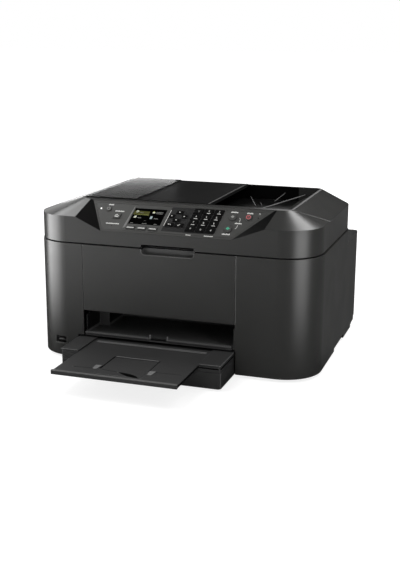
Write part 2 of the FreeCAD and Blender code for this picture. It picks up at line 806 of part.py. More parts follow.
# Front cover and paper exit
def output_frame():
    """The paper exit: sill, floor, ribbed platen and the side frames with their bearings."""
    body = new_body("output_frame")
    block(body, "floor", "z",
          ("-bay_low_left - wall", "bay_low_right + wall", "front_y + 2 * wall", "front_y + exit_depth",
           "sill_bottom", "sill_bottom + wall"))
    block(body, "sill", "x",
          ("-sill_left", "sill_right", "front_y + sill_setback", "front_y + sill_depth", "sill_bottom",
           "sill_low + overcut"))
    block(body, "sill_bar", "x",
          ("-sill_left", "sill_right", "front_y", "front_y + sill_depth", "sill_low", "sill_top"),
          ("sill_round", None, None, "sill_round"))
    block(body, "sill_notch", "z",
          ("-sill_notch_left", "sill_notch_right", "front_y - overcut", "front_y + sill_depth + overcut",
           "sill_low", "sill_top + overcut"), cut=True)
    paper_stop(body)
    inner = ("-bay_left + fit_gap", "bay_right - fit_gap")
    block(body, "back_wall", "z",
          (*inner, "front_y + exit_depth - wall", "front_y + exit_depth", "sill_bottom", "platen_top"))
    block(body, "platen", "z",
          (*inner, "front_y + exit_depth - wall", "front_y + platen_depth", "platen_top - wall",
           "platen_top"))
    block(body, "pillar", "z",
          ("-bay_left + fit_gap", "-bay_left + pillar_width", "front_y + pillar_front",
           "front_y + exit_depth", "sill_bottom", "side_frame_top"))
    sides = (("left", "-bay_left + fit_gap", "-bay_left + fit_gap + wall"),
             ("right", "bay_right - fit_gap - wall", "bay_right - fit_gap"))
    hinge_y = "front_y + cover_hinge_depth"
    for name, x0, x1 in sides:
        block(body, f"side_{name}", "x",
              (x0, x1, "front_y + sill_depth", "front_y + platen_depth", "sill_bottom", "side_frame_top"))
        block(body, f"arm_{name}", "x",
              (x0, x1, f"{hinge_y} + arm_start", f"{hinge_y} + arm_end", "side_frame_top - overcut",
               "cover_hinge_height + ear_radius"))
        block(body, f"ear_{name}", "x",
              (x0, x1, f"{hinge_y} - ear_radius", f"{hinge_y} + arm_end",
               "cover_hinge_height - ear_radius", "cover_hinge_height + ear_radius"),
              ("ear_radius * arc_share", None, None, "ear_radius * arc_share"))
    span = ("-bay_left - overcut", "bay_right + overcut")
    rod(body, "cover_bearing", "x", (hinge_y, "cover_hinge_height"),
        "cover_pin_radius + pin_clearance", *span, cut=True)
    for name in ("exit", "feed"):
        rod(body, f"{name}_bearing", "x", (f"front_y + {name}_roller_depth", "roller_height"),
            "shaft_radius + pin_clearance", *span, cut=True)
    rib = block(body, "platen_rib", "x",
                ("-bay_left + platen_rib_inset", "-bay_left + platen_rib_inset + platen_rib_width",
                 "front_y + exit_roller_depth + 2 * roller_radius",
                 "front_y + feed_roller_depth - 2 * roller_radius",
                 "platen_top - overcut", "platen_top + platen_rib"))
    row_of(body, rib, "platen_ribs", "X_Axis", "platen_rib_pitch", PLATEN_RIBS)


def paper_stop(body):
    """The small upright frame in the sill's notch that paper leans on."""
    ends = ("-sill_notch_left + stop_gap", "sill_notch_right - stop_gap")
    depth = ("front_y + sill_setback", "front_y + sill_setback + stop_depth")
    for name, x0, x1 in (("left", ends[0], f"{ends[0]} + stop_post"),
                         ("right", f"{ends[1]} - stop_post", ends[1])):
        block(body, f"stop_post_{name}", "z", (x0, x1, *depth, "sill_bottom", "sill_top + stop_rise"))
    block(body, "stop_bar", "z", (*ends, *depth, "sill_bottom", "sill_top"))


def front_cover():
    """The drop-down front cover with its finger recess, ribs, ears and hinge pins."""
    body = new_body("front_cover")
    back = "front_y + cover_thickness"
    high = "body_top - fit_gap"
    block(body, "panel", "y",
          ("-bay_left", "bay_right", "front_y", back, "cover_bottom", high))
    for name, x0, x1 in (("left", "-bay_left", "-bay_left + wall"),
                         ("right", "bay_right - wall", "bay_right")):
        block(body, f"return_{name}", "y",
              (x0, x1, f"{back} - overcut", f"{back} + cover_return",
               "cover_hinge_height + 2 * ear_radius", f"{high} - wall"))
    block(body, "recess_box", "y",
          ("-recess_half_width - wall", "recess_half_width + wall", f"{back} - overcut",
           "front_y + recess_depth + wall", "recess_bottom - wall", high))
    block(body, "recess", "y",
          ("-recess_half_width", "recess_half_width", "front_y - overcut", "front_y + recess_depth",
           "recess_bottom", f"{high} + overcut"), ("recess_radius", "recess_radius", None, None), cut=True)
    ears = (("left", "-bay_left + 2 * fit_gap + wall", "-bay_left + 2 * fit_gap + 2 * wall"),
            ("right", "bay_right - 2 * fit_gap - 2 * wall", "bay_right - 2 * fit_gap - wall"))
    hinge_y = "front_y + cover_hinge_depth"
    for name, x0, x1 in ears:
        block(body, f"ear_{name}", "x",
              (x0, x1, f"{back} - overcut", f"{hinge_y} + ear_radius",
               "cover_hinge_height - ear_radius", "cover_hinge_height + ear_radius"),
              (None, "ear_radius * arc_share", "ear_radius * arc_share", None))
    for name, low, far in (("left", "-bay_left + fit_gap", "-bay_left + 2 * fit_gap + 1.5 * wall"),
                           ("right", "bay_right - 2 * fit_gap - 1.5 * wall", "bay_right - fit_gap")):
        rod(body, f"pin_{name}", "x", (hinge_y, "cover_hinge_height"), "cover_pin_radius", low, far)
    rib = block(body, "rib", "y",
                ("-bay_left + cover_rib_inset", "-bay_left + cover_rib_inset + cover_rib_width",
                 f"{back} - overcut", f"{back} + wall", "cover_hinge_height + 2 * ear_radius",
                 "recess_bottom - 2 * wall"))
    span = "(bay_left + bay_right - 2 * cover_rib_inset - cover_rib_width)"
    row_of(body, rib, "ribs", "X_Axis", f"{span} / {COVER_RIBS - 1}", COVER_RIBS)


def roller(label, depth, sleeves):
    """A paper roller on its shaft, with a drive gear outside the left side frame."""
    body = new_body(label)
    centre = (f"front_y + {depth}", "roller_height")
    gear_x = "-bay_left - fit_gap - gear_width"
    rod(body, "shaft", "x", centre, "shaft_radius", f"{gear_x} - shaft_end", "bay_right - fit_gap")
    rod(body, "gear", "x", centre, "gear_radius", gear_x, f"{gear_x} + gear_width")
    span = "(bay_left + bay_right - 2 * sleeve_inset)"
    first = "-bay_left + sleeve_inset"
    if sleeves == 1:
        rod(body, "sleeve", "x", centre, "roller_radius", first, f"{first} + {span}")
        return
    step = f"{span} / {sleeves}"
    sleeve = rod(body, "sleeve", "x", centre, "roller_radius", first, f"{first} + {step} / 3")
    row_of(body, sleeve, "sleeves", "X_Axis", step, sleeves)


# Cassette and output tray
def cassette_base():
    """The rear part of the paper cassette, hung on the rails by its side runners."""
    body = new_body("cassette_base")
    left = "-cassette_left + wall + fit_gap"
    right = "cassette_right - wall - fit_gap"
    low = "cassette_bottom + cassette_floor + fit_gap"
    ends = ("front_y + cassette_base_front", "cassette_rear_y")
    block(body, "tub", "z", (left, right, *ends, low, "cassette_top"))
    block(body, "paper_space", "z",
          (f"{left} + wall", f"{right} - wall", f"{ends[0]} - overcut", f"{ends[1]} - wall",
           f"{low} + cassette_floor", "cassette_top + overcut"), cut=True)
    run = ("front_y + rail_start + fit_gap", f"{ends[1]} - wall", "rail_top + fit_gap",
           "rail_top + fit_gap + runner_height")
    block(body, "runner_left", "y", (f"{left} - runner_width", f"{left} + wall / 2", *run))
    block(body, "runner_right", "y", (f"{right} - wall / 2", f"{right} + runner_width", *run))


def cassette_front():
    """The front part of the cassette, which telescopes over the rear part."""
    body = new_body("cassette_front")
    front = "front_y - cassette_reach"
    block(body, "tub", "z",
          ("-cassette_left", "cassette_right", front, "front_y + cassette_overlap", "cassette_bottom",
           "cassette_split"), ("cassette_radius", "cassette_radius", None, None))
    block(body, "paper_space", "z",
          ("-cassette_left + wall", "cassette_right - wall", f"{front} + wall",
           "front_y + cassette_overlap + overcut", "cassette_bottom + cassette_floor",
           "cassette_split + overcut"), cut=True)


def cassette_cover():
    """The cassette's lid: two raised shoulders with a channel between for the output tray."""
    body = new_body("cassette_cover")
    front = "front_y - cassette_reach"
    low = "cassette_split + cassette_seam"
    deck = "cassette_top + cassette_seam"
    tail = "front_y + cover_tail"
    block(body, "deck", "z",
          ("-cassette_left", "cassette_right", front, tail, low, "shoulder_top"),
          ("cassette_radius", "cassette_radius", None, None))
    block(body, "underside", "z",
          ("-cassette_left + wall", "cassette_right - wall", f"{front} + wall", f"{tail} + overcut",
           f"{low} - overcut", deck), cut=True)
    channel = ("-slab_left - slab_gap", "slab_right + slab_gap")
    block(body, "trough", "z",
          (f"{channel[0]} - channel_wall", f"{channel[1]} + channel_wall", f"{front} + wall / 2", tail,
           "cassette_top - channel_plate", f"{deck} + channel_wall"))
    block(body, "channel", "z",
          (*channel, f"{front} - overcut", f"{tail} + overcut", "cassette_top", "shoulder_top + overcut"),
          cut=True)
    groove = sketch_on(body, "groove", "z", "groove_low + groove_height")
    draw_rectangle(groove, "-cassette_left - overcut", "cassette_right + overcut", f"{front} - overcut",
                   f"{tail} + 2 * overcut")
    edge = "cassette_radius - groove_depth"
    draw_rectangle(groove, "-cassette_left + groove_depth", "cassette_right - groove_depth",
                   f"{front} + groove_depth", f"{tail} + overcut", (edge, edge, None, None))
    extrude(body, "groove", "z", groove, "groove_height", cut=True)


def output_tray():
    """The output tray that slides in the cassette cover, with a lip and a well for its support."""
    body = new_body("output_tray")
    front = "front_y - tray_reach"
    block(body, "slab", "z",
          ("-slab_left", "slab_right", front, "front_y + slab_tail", "slab_low", "slab_top"),
          ("slab_radius", "slab_radius", None, None))
    block(body, "lip", "z",
          ("-slab_left", "slab_right", front, f"{front} + slab_radius + lip_depth", "slab_low",
           "slab_top + lip_rise"), ("slab_radius", "slab_radius", None, None))
    block(body, "lip_back", "z",
          ("-slab_left - overcut", "slab_right + overcut", f"{front} + lip_depth",
           f"{front} + slab_radius + lip_depth + overcut", "slab_top", "slab_top + lip_rise + overcut"),
          cut=True)
    sides = ("-support_left - slab_gap", "support_right + slab_gap")
    block(body, "support_well", "z",
          (*sides, "front_y - support_front - slab_gap", "front_y - support_rear + slab_gap",
           "slab_top - support_thickness - fit_gap", "slab_top + overcut"), cut=True)
    block(body, "hinge_slot", "z",
          (*sides, "front_y - support_front - support_slot_lead",
           "front_y - support_front - support_slot_lead + support_slot",
           "slab_low - overcut", "slab_top + overcut"), cut=True)
    reach = "(support_pin_length + slab_gap)"
    rod(body, "hinge_bore", "x", ("front_y - support_hinge", "support_hinge_height"),
        "support_pin_radius + pin_clearance", f"-support_left - {reach}", f"support_right + {reach}",
        cut=True)
    tab = ("front_y - support_hinge + tab_place", "front_y - support_hinge + tab_place + tab_length",
           "slab_top - overcut", "slab_top + lip_rise / 2")
    block(body, "tab_left", "z",
          ("-support_left - tab_gap - tab_width", "-support_left - tab_gap", *tab))
    block(body, "tab_right", "z",
          ("support_right + tab_gap", "support_right + tab_gap + tab_width", *tab))


def output_support():
    """The flap in the output tray that swings up and forward on pins at its front edge."""
    body = new_body("output_support")
    half = "support_thickness / 2 * arc_share"
    block(body, "flap", "x",
          ("-support_left", "support_right", "front_y - support_front", "front_y - support_rear",
           "slab_top - support_thickness", "slab_top"), (half, None, None, half))
    rod(body, "pins", "x", ("front_y - support_hinge", "support_hinge_height"), "support_pin_radius",
        "-support_left - support_pin_length", "support_right + support_pin_length")


# Print engine
def carriage_rail():
    """The bent sheet rail across the printer on two legs."""
    body = new_body("carriage_rail")
    web = ("front_y + rail_depth", "front_y + rail_depth + rail_sheet")
    ends = ("-rail_half_length", "rail_half_length")
    block(body, "web", "y", (*ends, *web, "rail_low", "rail_high"))
    flange = "front_y + rail_depth - rail_flange"
    block(body, "flange", "y", (*ends, flange, web[1], "rail_high - rail_sheet", "rail_high"))
    block(body, "lip", "y",
          (*ends, flange, f"{flange} + rail_sheet", "rail_high - rail_lip", "rail_high"))
    block(body, "leg_left", "y",
          ("-rail_half_length", "-rail_half_length + rail_leg", *web, "floor_top", "rail_high"))
    block(body, "leg_right", "y",
          ("rail_half_length - rail_leg", "rail_half_length", *web, "floor_top", "rail_high"))


def carriage():
    """The print-head carriage: an open-fronted holder hung over the rail by its arm."""
    body = new_body("carriage")
    sides = ("carriage_left", "carriage_left + carriage_width")
    back = "front_y + rail_depth - rail_flange - fit_gap"
    top = "carriage_top"
    block(body, "holder", "z", (*sides, "front_y + carriage_front", back, "carriage_low", top))
    block(body, "tank_space", "y",
          ("carriage_left + carriage_wall", "carriage_left + carriage_width - carriage_wall",
           "front_y + carriage_front - overcut", f"{back} - 2 * carriage_wall",
           "carriage_low + carriage_wall", f"{top} + overcut"), cut=True)
    arm = "rail_high + fit_gap"
    block(body, "riser", "z",
          (*sides, f"{back} - 2 * carriage_wall", back, f"{top} - overcut", f"{arm} + carriage_arm"))
    block(body, "arm", "z",
          (*sides, f"{back} - 2 * carriage_wall", "front_y + rail_depth - rail_sheet", arm,
           f"{arm} + carriage_arm"))


def ink_tanks():
    """One wide black tank and three colour tanks, each with a finger tab."""
    tanks = []
    x = "carriage_left + carriage_wall + tank_gap"
    back = "front_y + rail_depth - rail_flange - fit_gap - 2 * carriage_wall - fit_gap"
    names = ("black", "cyan", "magenta", "yellow")
    for name in names:
        width = "black_tank_width" if name == "black" else "colour_tank_width"
        tank = new_body(f"tank_{name}", keep=False)
        block(tank, "shell", "x",
              (x, f"{x} + {width}", "front_y + tank_front", back, "tank_low", "tank_low + tank_height"),
              (None, None, "2 * carriage_wall", "2 * carriage_wall"))
        block(tank, "tab", "x",
              (f"{x} + {width} / 4", f"{x} + {width} * 3 / 4", "front_y + tank_front - carriage_wall",
               "front_y + tank_front + overcut", "tank_low + tank_height / 2",
               "tank_low + tank_height / 2 + carriage_wall"))
        tanks.append(tank)
        x = f"{x} + {width} + tank_gap"
    group("ink_tanks", tanks)


def carriage_drive():
    """The carriage motor, its toothed-belt loop and the two pulleys."""
    depth = "front_y + rail_depth - rail_sheet"
    run = (f"{depth} - belt_width", depth)
    belt = new_body("belt", keep=False)
    reach = "pulley_radius + pin_clearance"
    outer = f"{reach} + belt_thickness"
    for name, grow, cut in (("loop", outer, False), ("inside", reach, True)):
        block(belt, name, "y",
              (f"-pulley_place - ({grow})", f"pulley_place + {grow}",
               f"{run[0]} - overcut" if cut else run[0], f"{run[1]} + overcut" if cut else run[1],
               f"belt_height - ({grow})", f"belt_height + {grow}"),
              (f"({grow}) * arc_share",) * 4, cut=cut)
    items = [belt]
    web = "front_y + rail_depth"
    for name, x in (("left", "-pulley_place"), ("right", "pulley_place")):
        pulley = new_body(f"pulley_{name}", keep=False)
        rod(pulley, "wheel", "y", (x, "belt_height"), "pulley_radius * arc_share", run[0], web)
        items.append(pulley)
    motor = new_body("motor", keep=False)
    back = f"{web} + rail_sheet"
    rod(motor, "can", "y", ("-pulley_place", "belt_height"), "motor_radius", back, f"{back} + motor_length")
    items.append(motor)
    group("carriage_drive", items)


def circuit_boards():
    """The power supply case, and the control board on its standoffs behind it."""
    sides = ("-board_left", "-board_left + board_width")
    supply = new_body("power_supply", keep=False)
    block(supply, "case", "z",
          (*sides, "front_y + supply_front", "front_y + supply_front + supply_length", "floor_top",
           "floor_top + supply_height"))
    board = new_body("control_board", keep=False)
    low = "floor_top + standoff_height"
    ends = ("board_rear_y - board_length", "board_rear_y")
    block(board, "plate", "z", (*sides, *ends, low, f"{low} + board_thickness"))
    inset = "2 * standoff_half"
    for side, x in (("left", f"{sides[0]} + {inset}"), ("right", f"{sides[1]} - {inset}")):
        for end, y in (("front", f"{ends[0]} + {inset}"), ("rear", f"{ends[1]} - {inset}")):
            block(board, f"standoff_{end}_{side}", "z",
                  (f"{x} - standoff_half", f"{x} + standoff_half", f"{y} - standoff_half",
                   f"{y} + standoff_half", "floor_top", f"{low} + board_thickness / 2"))
    block(board, "processor", "z",
          (f"{sides[0]} + board_width / 3", f"{sides[1]} - board_width / 3",
           f"{ends[0]} + board_length / 3", f"{ends[0]} + board_length / 3 + board_width / 3",
           low, f"{low} + 3 * board_thickness"))
    group("circuit_boards", [supply, board])


# Scanner
def scanner_base():
    """The scanner pan: rim on the lower body, ledge for the glass, rail rib and hinge ears."""
    body = new_body("scanner_base")
    edge = "front_radius - rim_inset"
    rear_edge = "upper_rear_radius - rim_inset"
    block(body, "rim", "z",
          ("-half_width + rim_inset", "half_width - rim_inset", "front_y + rim_front_gap",
           "upper_rear_y - rim_rear_gap", "body_top", "upper_bottom"), (edge, edge, rear_edge, rear_edge))
    block(body, "finger_gap", "z",
          ("-recess_half_width - wall", "recess_half_width + wall", "front_y",
           "front_y + recess_depth + wall", "body_top - overcut", "upper_bottom + overcut"), cut=True)
    pan = ("-pan_half_width", "pan_half_width", "front_y + pan_front", "pan_rear_y")
    block(body, "pan", "z", (*pan, "pan_bottom", "glass_top"), ("2 * wall",) * 4)

    def inset(amount):
        return (f"-pan_half_width + {amount}", f"pan_half_width - ({amount})",
                f"front_y + pan_front + {amount}", f"pan_rear_y - ({amount})")

    block(body, "glass_seat", "z", (*inset("wall"), "glass_low", "glass_top + overcut"), cut=True)
    block(body, "inside", "z",
          (*inset("wall + glass_ledge"), "pan_bottom + wall", "glass_low + overcut"), cut=True)
    block(body, "rail", "x",
          ("-pan_half_width + wall", "pan_half_width - wall", "scan_rail_y - scan_rail / 2",
           "scan_rail_y + scan_rail / 2", "pan_bottom", "pan_bottom + wall + scan_rail_height"))
    for name, x0, x1 in (("left", "-hinge_ear_place - hinge_ear_width", "-hinge_ear_place"),
                         ("right", "hinge_ear_place", "hinge_ear_place + hinge_ear_width")):
        block(body, f"ear_{name}", "x",
              (x0, x1, "hinge_y - hinge_ear_radius", "hinge_y + hinge_ear_radius", "body_top",
               "hinge_height + hinge_ear_radius"),
              (None, None, "hinge_ear_radius * arc_share", "hinge_ear_radius * arc_share"))
    rod(body, "hinge_bore", "x", ("hinge_y", "hinge_height"), "hinge_pin_radius + pin_clearance",
        "-hinge_ear_place - hinge_ear_width - overcut", "hinge_ear_place + hinge_ear_width + overcut",
        cut=True)


def platen_glass():
    """The scanning glass in its seat."""
    body = new_body("platen_glass")
    block(body, "sheet", "z",
          ("-pan_half_width + wall + fit_gap", "pan_half_width - wall - fit_gap",
           "front_y + pan_front + wall + fit_gap", "pan_rear_y - wall - fit_gap",
           "glass_low", "glass_top"))


def scan_carriage():
    """The image sensor bar under the glass, riding on the rail rib."""
    body = new_body("scan_carriage")
    clear = "(2 * wall + glass_ledge)"
    sides = ("-scan_park", "-scan_park + scan_width")
    block(body, "bar", "x",
          (*sides, f"front_y + pan_front + {clear}", f"pan_rear_y - {clear}", "scan_bottom",
           "glass_low - fit_gap"))
    block(body, "groove", "x",
          ("-scan_park - overcut", "-scan_park + scan_width + overcut",
           "scan_rail_y - scan_rail / 2 - fit_gap", "scan_rail_y + scan_rail / 2 + fit_gap",
           "scan_bottom - overcut", "pan_bottom + wall + scan_rail_height + fit_gap"), cut=True)
    block(body, "lens_slot", "z",
          ("-scan_park + scan_width / 3", "-scan_park + scan_width / 2",
           f"front_y + pan_front + 2 * {clear}", f"pan_rear_y - 2 * {clear}",
           "glass_low - fit_gap - wall", "glass_low + overcut"), cut=True)


# Upper unit
def upper_form(body):
    """The upper unit's outer form: upright walls, then shoulders sloping in to the top rim."""
    edge = "front_radius - upper_inset"
    radii = (edge, edge, "upper_rear_radius", "upper_rear_radius")
    walls = ("-upper_half", "upper_half", "front_y", "upper_rear_y")
    block(body, "walls", "z", (*walls, "upper_bottom", "shoulder_start"), radii)
    foot = sketch_on(body, "shoulder_foot", "z", "shoulder_start")
    draw_rectangle(foot, *walls, radii)
    rim = sketch_on(body, "shoulder_rim", "z", "rim_height")
    draw_rectangle(rim, "-rim_left", "rim_right", "front_y + rim_front", "rim_rear_y",
                   ("rim_radius",) * 4)
    shoulders = body.newObject("PartDesign::AdditiveLoft", "shoulders")
    shoulders.Profile = foot
    shoulders.Sections = [rim]
    shoulders.Ruled = True


def pan_room(body):
    """Clears the corners of the scanner pan under the upper unit."""
    block(body, "pan_room", "z",
          ("-pan_half_width - wall", "pan_half_width + wall", "front_y + pan_front - wall",
           "pan_rear_y + wall", "upper_bottom - overcut", "glass_top + fit_gap"), cut=True)


def split_line(gap):
    """The plan outline that parts the bezel from the lid, moved back by a gap."""
    shift = f"split_y + {gap}"
    side = f"split_side_y + {gap}"
    return [("-half_width", side), ("-split_left", shift), ("split_right", shift), ("half_width", side)]


def panel_section(depth):
    """The cut for the control panel at a depth behind the front face."""
    share = f"({depth}) / rim_front"
    low = f"panel_bottom + panel_rise * {share}"
    left = f"-(panel_left_low + (panel_left_high - panel_left_low) * {share})"
    right = f"panel_right_low + (panel_right_high - panel_right_low) * {share}"
    return [
        (left, low),
        (right, low),
        (f"{right} + facet_right * facet_reach", f"{low} + facet_reach"),
        (f"{left} - facet_left * facet_reach", f"{low} + facet_reach"),
    ]


def plate_outline(grow):
    """The panel plate's outline in the slope, grown by an amount."""
    def edge(low, high, place):
        return f"({low} + ({high} - {low}) * ({place}) / panel_length)"
    bottom = f"plate_inset - ({grow})"
    top = f"panel_length - plate_inset + ({grow})"
    side = f"plate_inset - ({grow})"
    return [
        (f"-{edge('panel_left_low', 'panel_left_high', bottom)} + {side}", bottom),
        (f"{edge('panel_right_low', 'panel_right_high', bottom)} - ({side})", bottom),
        (f"{edge('panel_right_low', 'panel_right_high', top)} - ({side})", top),
        (f"-{edge('panel_left_low', 'panel_left_high', top)} + {side}", top),
    ]


def control_panel_housing():
    """The bezel in front of the lid: rounded corners, faceted recess and hollow behind the panel."""
    body = new_body("control_panel_housing")
    upper_form(body)
    near = sketch_on(body, "panel_near", "y", "front_y - 2 * overcut")
    draw_polygon(near, panel_section("-2 * overcut"))
    far = sketch_on(body, "panel_far", "y", "front_y + rim_front")
    draw_polygon(far, panel_section("rim_front"))
    recess = body.newObject("PartDesign::SubtractiveLoft", "panel_recess")
    recess.Profile = near
    recess.Sections = [far]
    recess.Ruled = True
    behind = [*split_line("0"), ("half_width", "upper_rear_y + overcut"),
              ("-half_width", "upper_rear_y + overcut")]
    prism(body, "behind", "z", behind, "upper_bottom - overcut", "rim_height + overcut", cut=True)
    pan_room(body)
    drop = "wall / cos(panel_angle)"
    roof = "rim_height - wall"
    inside = [
        ("front_y + wall", "upper_bottom - overcut"),
        ("split_y - wall", "upper_bottom - overcut"),
        ("split_y - wall", roof),
        (f"front_y + rim_front * ({roof} - panel_bottom + {drop}) / panel_rise", roof),
        ("front_y + wall", f"panel_bottom + panel_rise * wall / rim_front - {drop}"),
    ]
    prism(body, "hollow", "x", inside, "-hollow_left", "hollow_right", cut=True)
    block(body, "finger_recess", "y",
          ("-recess_half_width", "recess_half_width", "front_y - overcut", "front_y + recess_depth",
           "upper_bottom - overcut", "recess_top"), cut=True)
    window = sketch_on(body, "window", "z", "panel_bottom")
    tilt(window, "AttachmentOffset")
    draw_polygon(window, plate_outline("fit_gap"))
    opening = body.newObject("PartDesign::Pocket", "window")
    opening.Profile = window
    bind(opening, "Length", "wall + fit_gap")


def tilt(item, name):
    """Turns a sketch or body about X into the slope of the control panel."""
    setattr(item, name, FreeCAD.Placement(
        FreeCAD.Vector(), FreeCAD.Rotation(FreeCAD.Vector(1, 0, 0), value("panel_angle"))))
    bind(item, name + ".Base.y", "front_y")
    bind(item, name + ".Base.z", "panel_bottom")
    bind(item, name + ".Rotation.Angle", "panel_angle")


def slanted(u, w, width, height, grow):
    """A leaning four-sided key outline about a place in the slope, grown by an amount."""
    rise = f"(({height}) / 2 + {grow})"
    reach = f"(({width}) / 2 + {grow})"
    return [
        (f"{u} - {reach} - slant * {rise}", f"{w} - {rise}"),
        (f"{u} + {reach} - slant * {rise}", f"{w} - {rise}"),
        (f"{u} + {reach} + slant * {rise}", f"{w} + {rise}"),
        (f"{u} - {reach} + slant * {rise}", f"{w} + {rise}"),
    ]


def key_layout():
    """Every key as name, place, width and height; a round key has no height."""
    layout = []
    labels = ("1", "2", "3", "4", "5", "6", "7", "8", "9", "star", "0", "hash")
    for number, label in enumerate(labels):
        row = number // 3
        u = f"pad_u + pad_step_u * {number % 3} - slant * pad_step_w * {row}"
        w = f"pad_w - pad_step_w * {row}"
        layout.append((f"key_{label}", u, w, "pad_key_width", "pad_key_height"))
    for name, (_, _, _, height) in KEYS.items():
        tall = f"{name}_height" if height else None
        layout.append((name, f"{name}_u", f"{name}_w", f"{name}_width", tall))
    return layout


def key_shape(body, name, key, grow, low, high, cut=False):
    """Pads or cuts one key's outline between two levels in the slope."""
    _, u, w, width, height = key
    if height is None:
        return rod(body, name, "z", (u, w), f"{width} / 2 + {grow}", low, high, cut)
    return prism(body, name, "z", slanted(u, w, width, height, grow), low, high, cut)


def panel_plate():
    """The sloping control panel with an opening for each key and for the screen."""
    body = new_body("panel_plate")
    prism(body, "face", "z", plate_outline("0"), "-wall", "0")
    prism(body, "flange", "z", plate_outline("plate_flange"),
          "-wall - fit_gap - plate_flange_thickness", "-wall - fit_gap")
    prism(body, "neck", "z", plate_outline("0"), "-wall - fit_gap - plate_flange_thickness", "-overcut")
    through = ("-wall - fit_gap - plate_flange_thickness - overcut", "overcut")
    for key in key_layout():
        key_shape(body, key[0] + "_hole", key, "fit_gap", *through, cut=True)
    prism(body, "screen_hole", "z",
          slanted("screen_u", "screen_w", "screen_width", "screen_height", "fit_gap"), *through, cut=True)
    tilt(body, "Placement")


def display():
    """The screen module with its flange behind the panel."""
    body = new_body("display")
    under = "-wall - 2 * fit_gap - plate_flange_thickness"
    prism(body, "screen", "z", slanted("screen_u", "screen_w", "screen_width", "screen_height", "0"),
          "-screen_depth", "-screen_sink")
    prism(body, "flange", "z",
          slanted("screen_u", "screen_w", "screen_width", "screen_height", "key_flange"),
          f"{under} - key_flange_thickness", under)
    tilt(body, "Placement")


def keys():
    """One key cap per opening, held by a flange behind the panel."""
    under = "-wall - 2 * fit_gap - plate_flange_thickness"
    for key in key_layout():
        name, u, w, width, height = key
        body = new_body(name)
        key_shape(body, "cap", key, "0", f"{under} - key_flange_thickness", "key_rise")
        flange = slanted(u, w, width, height or width, "key_flange + fit_gap")
        prism(body, "flange", "z", flange, f"{under} - key_flange_thickness", under)
        tilt(body, "Placement")


# Lid with document feeder
def lid_shell():
    """The scanner lid: skirt, cover plate, feeder well with its ramp, bearings and hinge pins."""
    body = new_body("lid_shell")
    upper_form(body)
    ahead = [*split_line("lid_gap"), ("half_width", "front_y - overcut"),
             ("-half_width", "front_y - overcut")]
    prism(body, "ahead", "z", ahead, "upper_bottom - overcut", "rim_height + overcut", cut=True)
    rear_edge = "upper_rear_radius - wall"
    block(body, "skirt_hollow", "z",
          ("-upper_half + wall", "upper_half - wall", "split_side_y + lid_gap + wall",
           "upper_rear_y - wall", "upper_bottom - overcut", "skirt_top"),
          (None, None, rear_edge, rear_edge), cut=True)
    taper = [
        ("-upper_half + wall", "split_side_y + lid_gap + 2 * wall"),
        ("-split_left - wall", "well_front_y"),
        ("split_right + wall", "well_front_y"),
        ("upper_half - wall", "split_side_y + lid_gap + 2 * wall"),
    ]
    prism(body, "front_hollow", "z", taper, "upper_bottom - overcut", "skirt_top", cut=True)
    pan_room(body)
    block(body, "rear_gap", "z",
          ("-upper_half - overcut", "upper_half + overcut", "hinge_y - hinge_ear_radius",
           "upper_rear_y + overcut", "upper_bottom - overcut", "upper_bottom + rear_skirt_rise"), cut=True)
    plate_high = "plate_low + plate_thickness"
    block(body, "cover_plate", "z",
          ("-upper_half + wall / 2", "upper_half - wall / 2", "split_side_y + lid_gap + wall",
           "upper_rear_y - wall / 2", "plate_low", plate_high),
          (None, None, rear_edge, rear_edge))
    block(body, "cover_plate_front", "z",
          ("-split_left", "split_right", "lid_front_y + wall / 2", "split_side_y + lid_gap + 2 * wall",
           "plate_low", plate_high))
    block(body, "scan_strip", "z",
          ("-strip_left", "-strip_left + strip_width", "front_y + pad_front + wall",
           "pad_rear_y - wall", "plate_low - overcut", f"{plate_high} + overcut"), cut=True)
    block(body, "well", "z",
          ("-well_left", "well_right", "well_front_y", "well_rear_y", "well_floor",
           "rim_height + overcut"), cut=True)
    ramp = [("ramp_start", "well_floor - overcut"), ("well_right + overcut", "well_floor - overcut"),
            ("well_right + overcut", "ramp_top")]
    prism(body, "ramp", "y", ramp, "well_front_y - wall / 2", "well_rear_y + wall / 2")
    bores = (("feeder", "-feeder_hinge_place", "feeder_hinge_height", "feeder_pin_radius"),
             ("tray", "doc_hinge_place", "doc_hinge_height", "top_pin_radius"),
             ("roller", "-adf_place", "adf_height", "shaft_radius"))
    for name, x, z, radius in bores:
        rod(body, f"{name}_bore", "y", (x, z), f"{radius} + pin_clearance",
            "well_front_y - top_pin_length - fit_gap", "well_rear_y + top_pin_length + fit_gap", cut=True)
    for side, sign in (("left", "-"), ("right", "")):
        lid_hinge(body, side, sign)


def lid_hinge(body, side, sign):
    """One hinge of the lid: slot for the ear, block beside it and the pin."""
    inner = "hinge_ear_place - hinge_gap"
    outer = "hinge_ear_place + hinge_ear_width + hinge_gap"
    far = "hinge_ear_place - hinge_gap - hinge_block_width"

    def span(near, wide):
        return (f"-({wide})", f"-({near})") if sign else (near, wide)

    block(body, f"hinge_slot_{side}", "z",
          (*span(inner, outer), "hinge_y - 2.5 * hinge_ear_radius", "upper_rear_y + overcut",
           "upper_bottom - overcut", "hinge_slot_top"), cut=True)
    block(body, f"hinge_block_{side}", "x",
          (*span(far, inner), "hinge_y - hinge_ear_radius", "upper_rear_y - wall / 2",
           "hinge_height - hinge_block_drop", "plate_low + wall"))
    rod(body, f"hinge_pin_{side}", "x", ("hinge_y", "hinge_height"), "hinge_pin_radius",
        *span(f"{inner} - overcut", "hinge_ear_place + hinge_ear_width"))


def lid_pad():
    """The white backing pad under the lid."""
    body = new_body("lid_pad")
    block(body, "pad", "z",
          ("-pad_left", "pad_right", "front_y + pad_front", "pad_rear_y",
           "glass_top + fit_gap", "plate_low - fit_gap"))


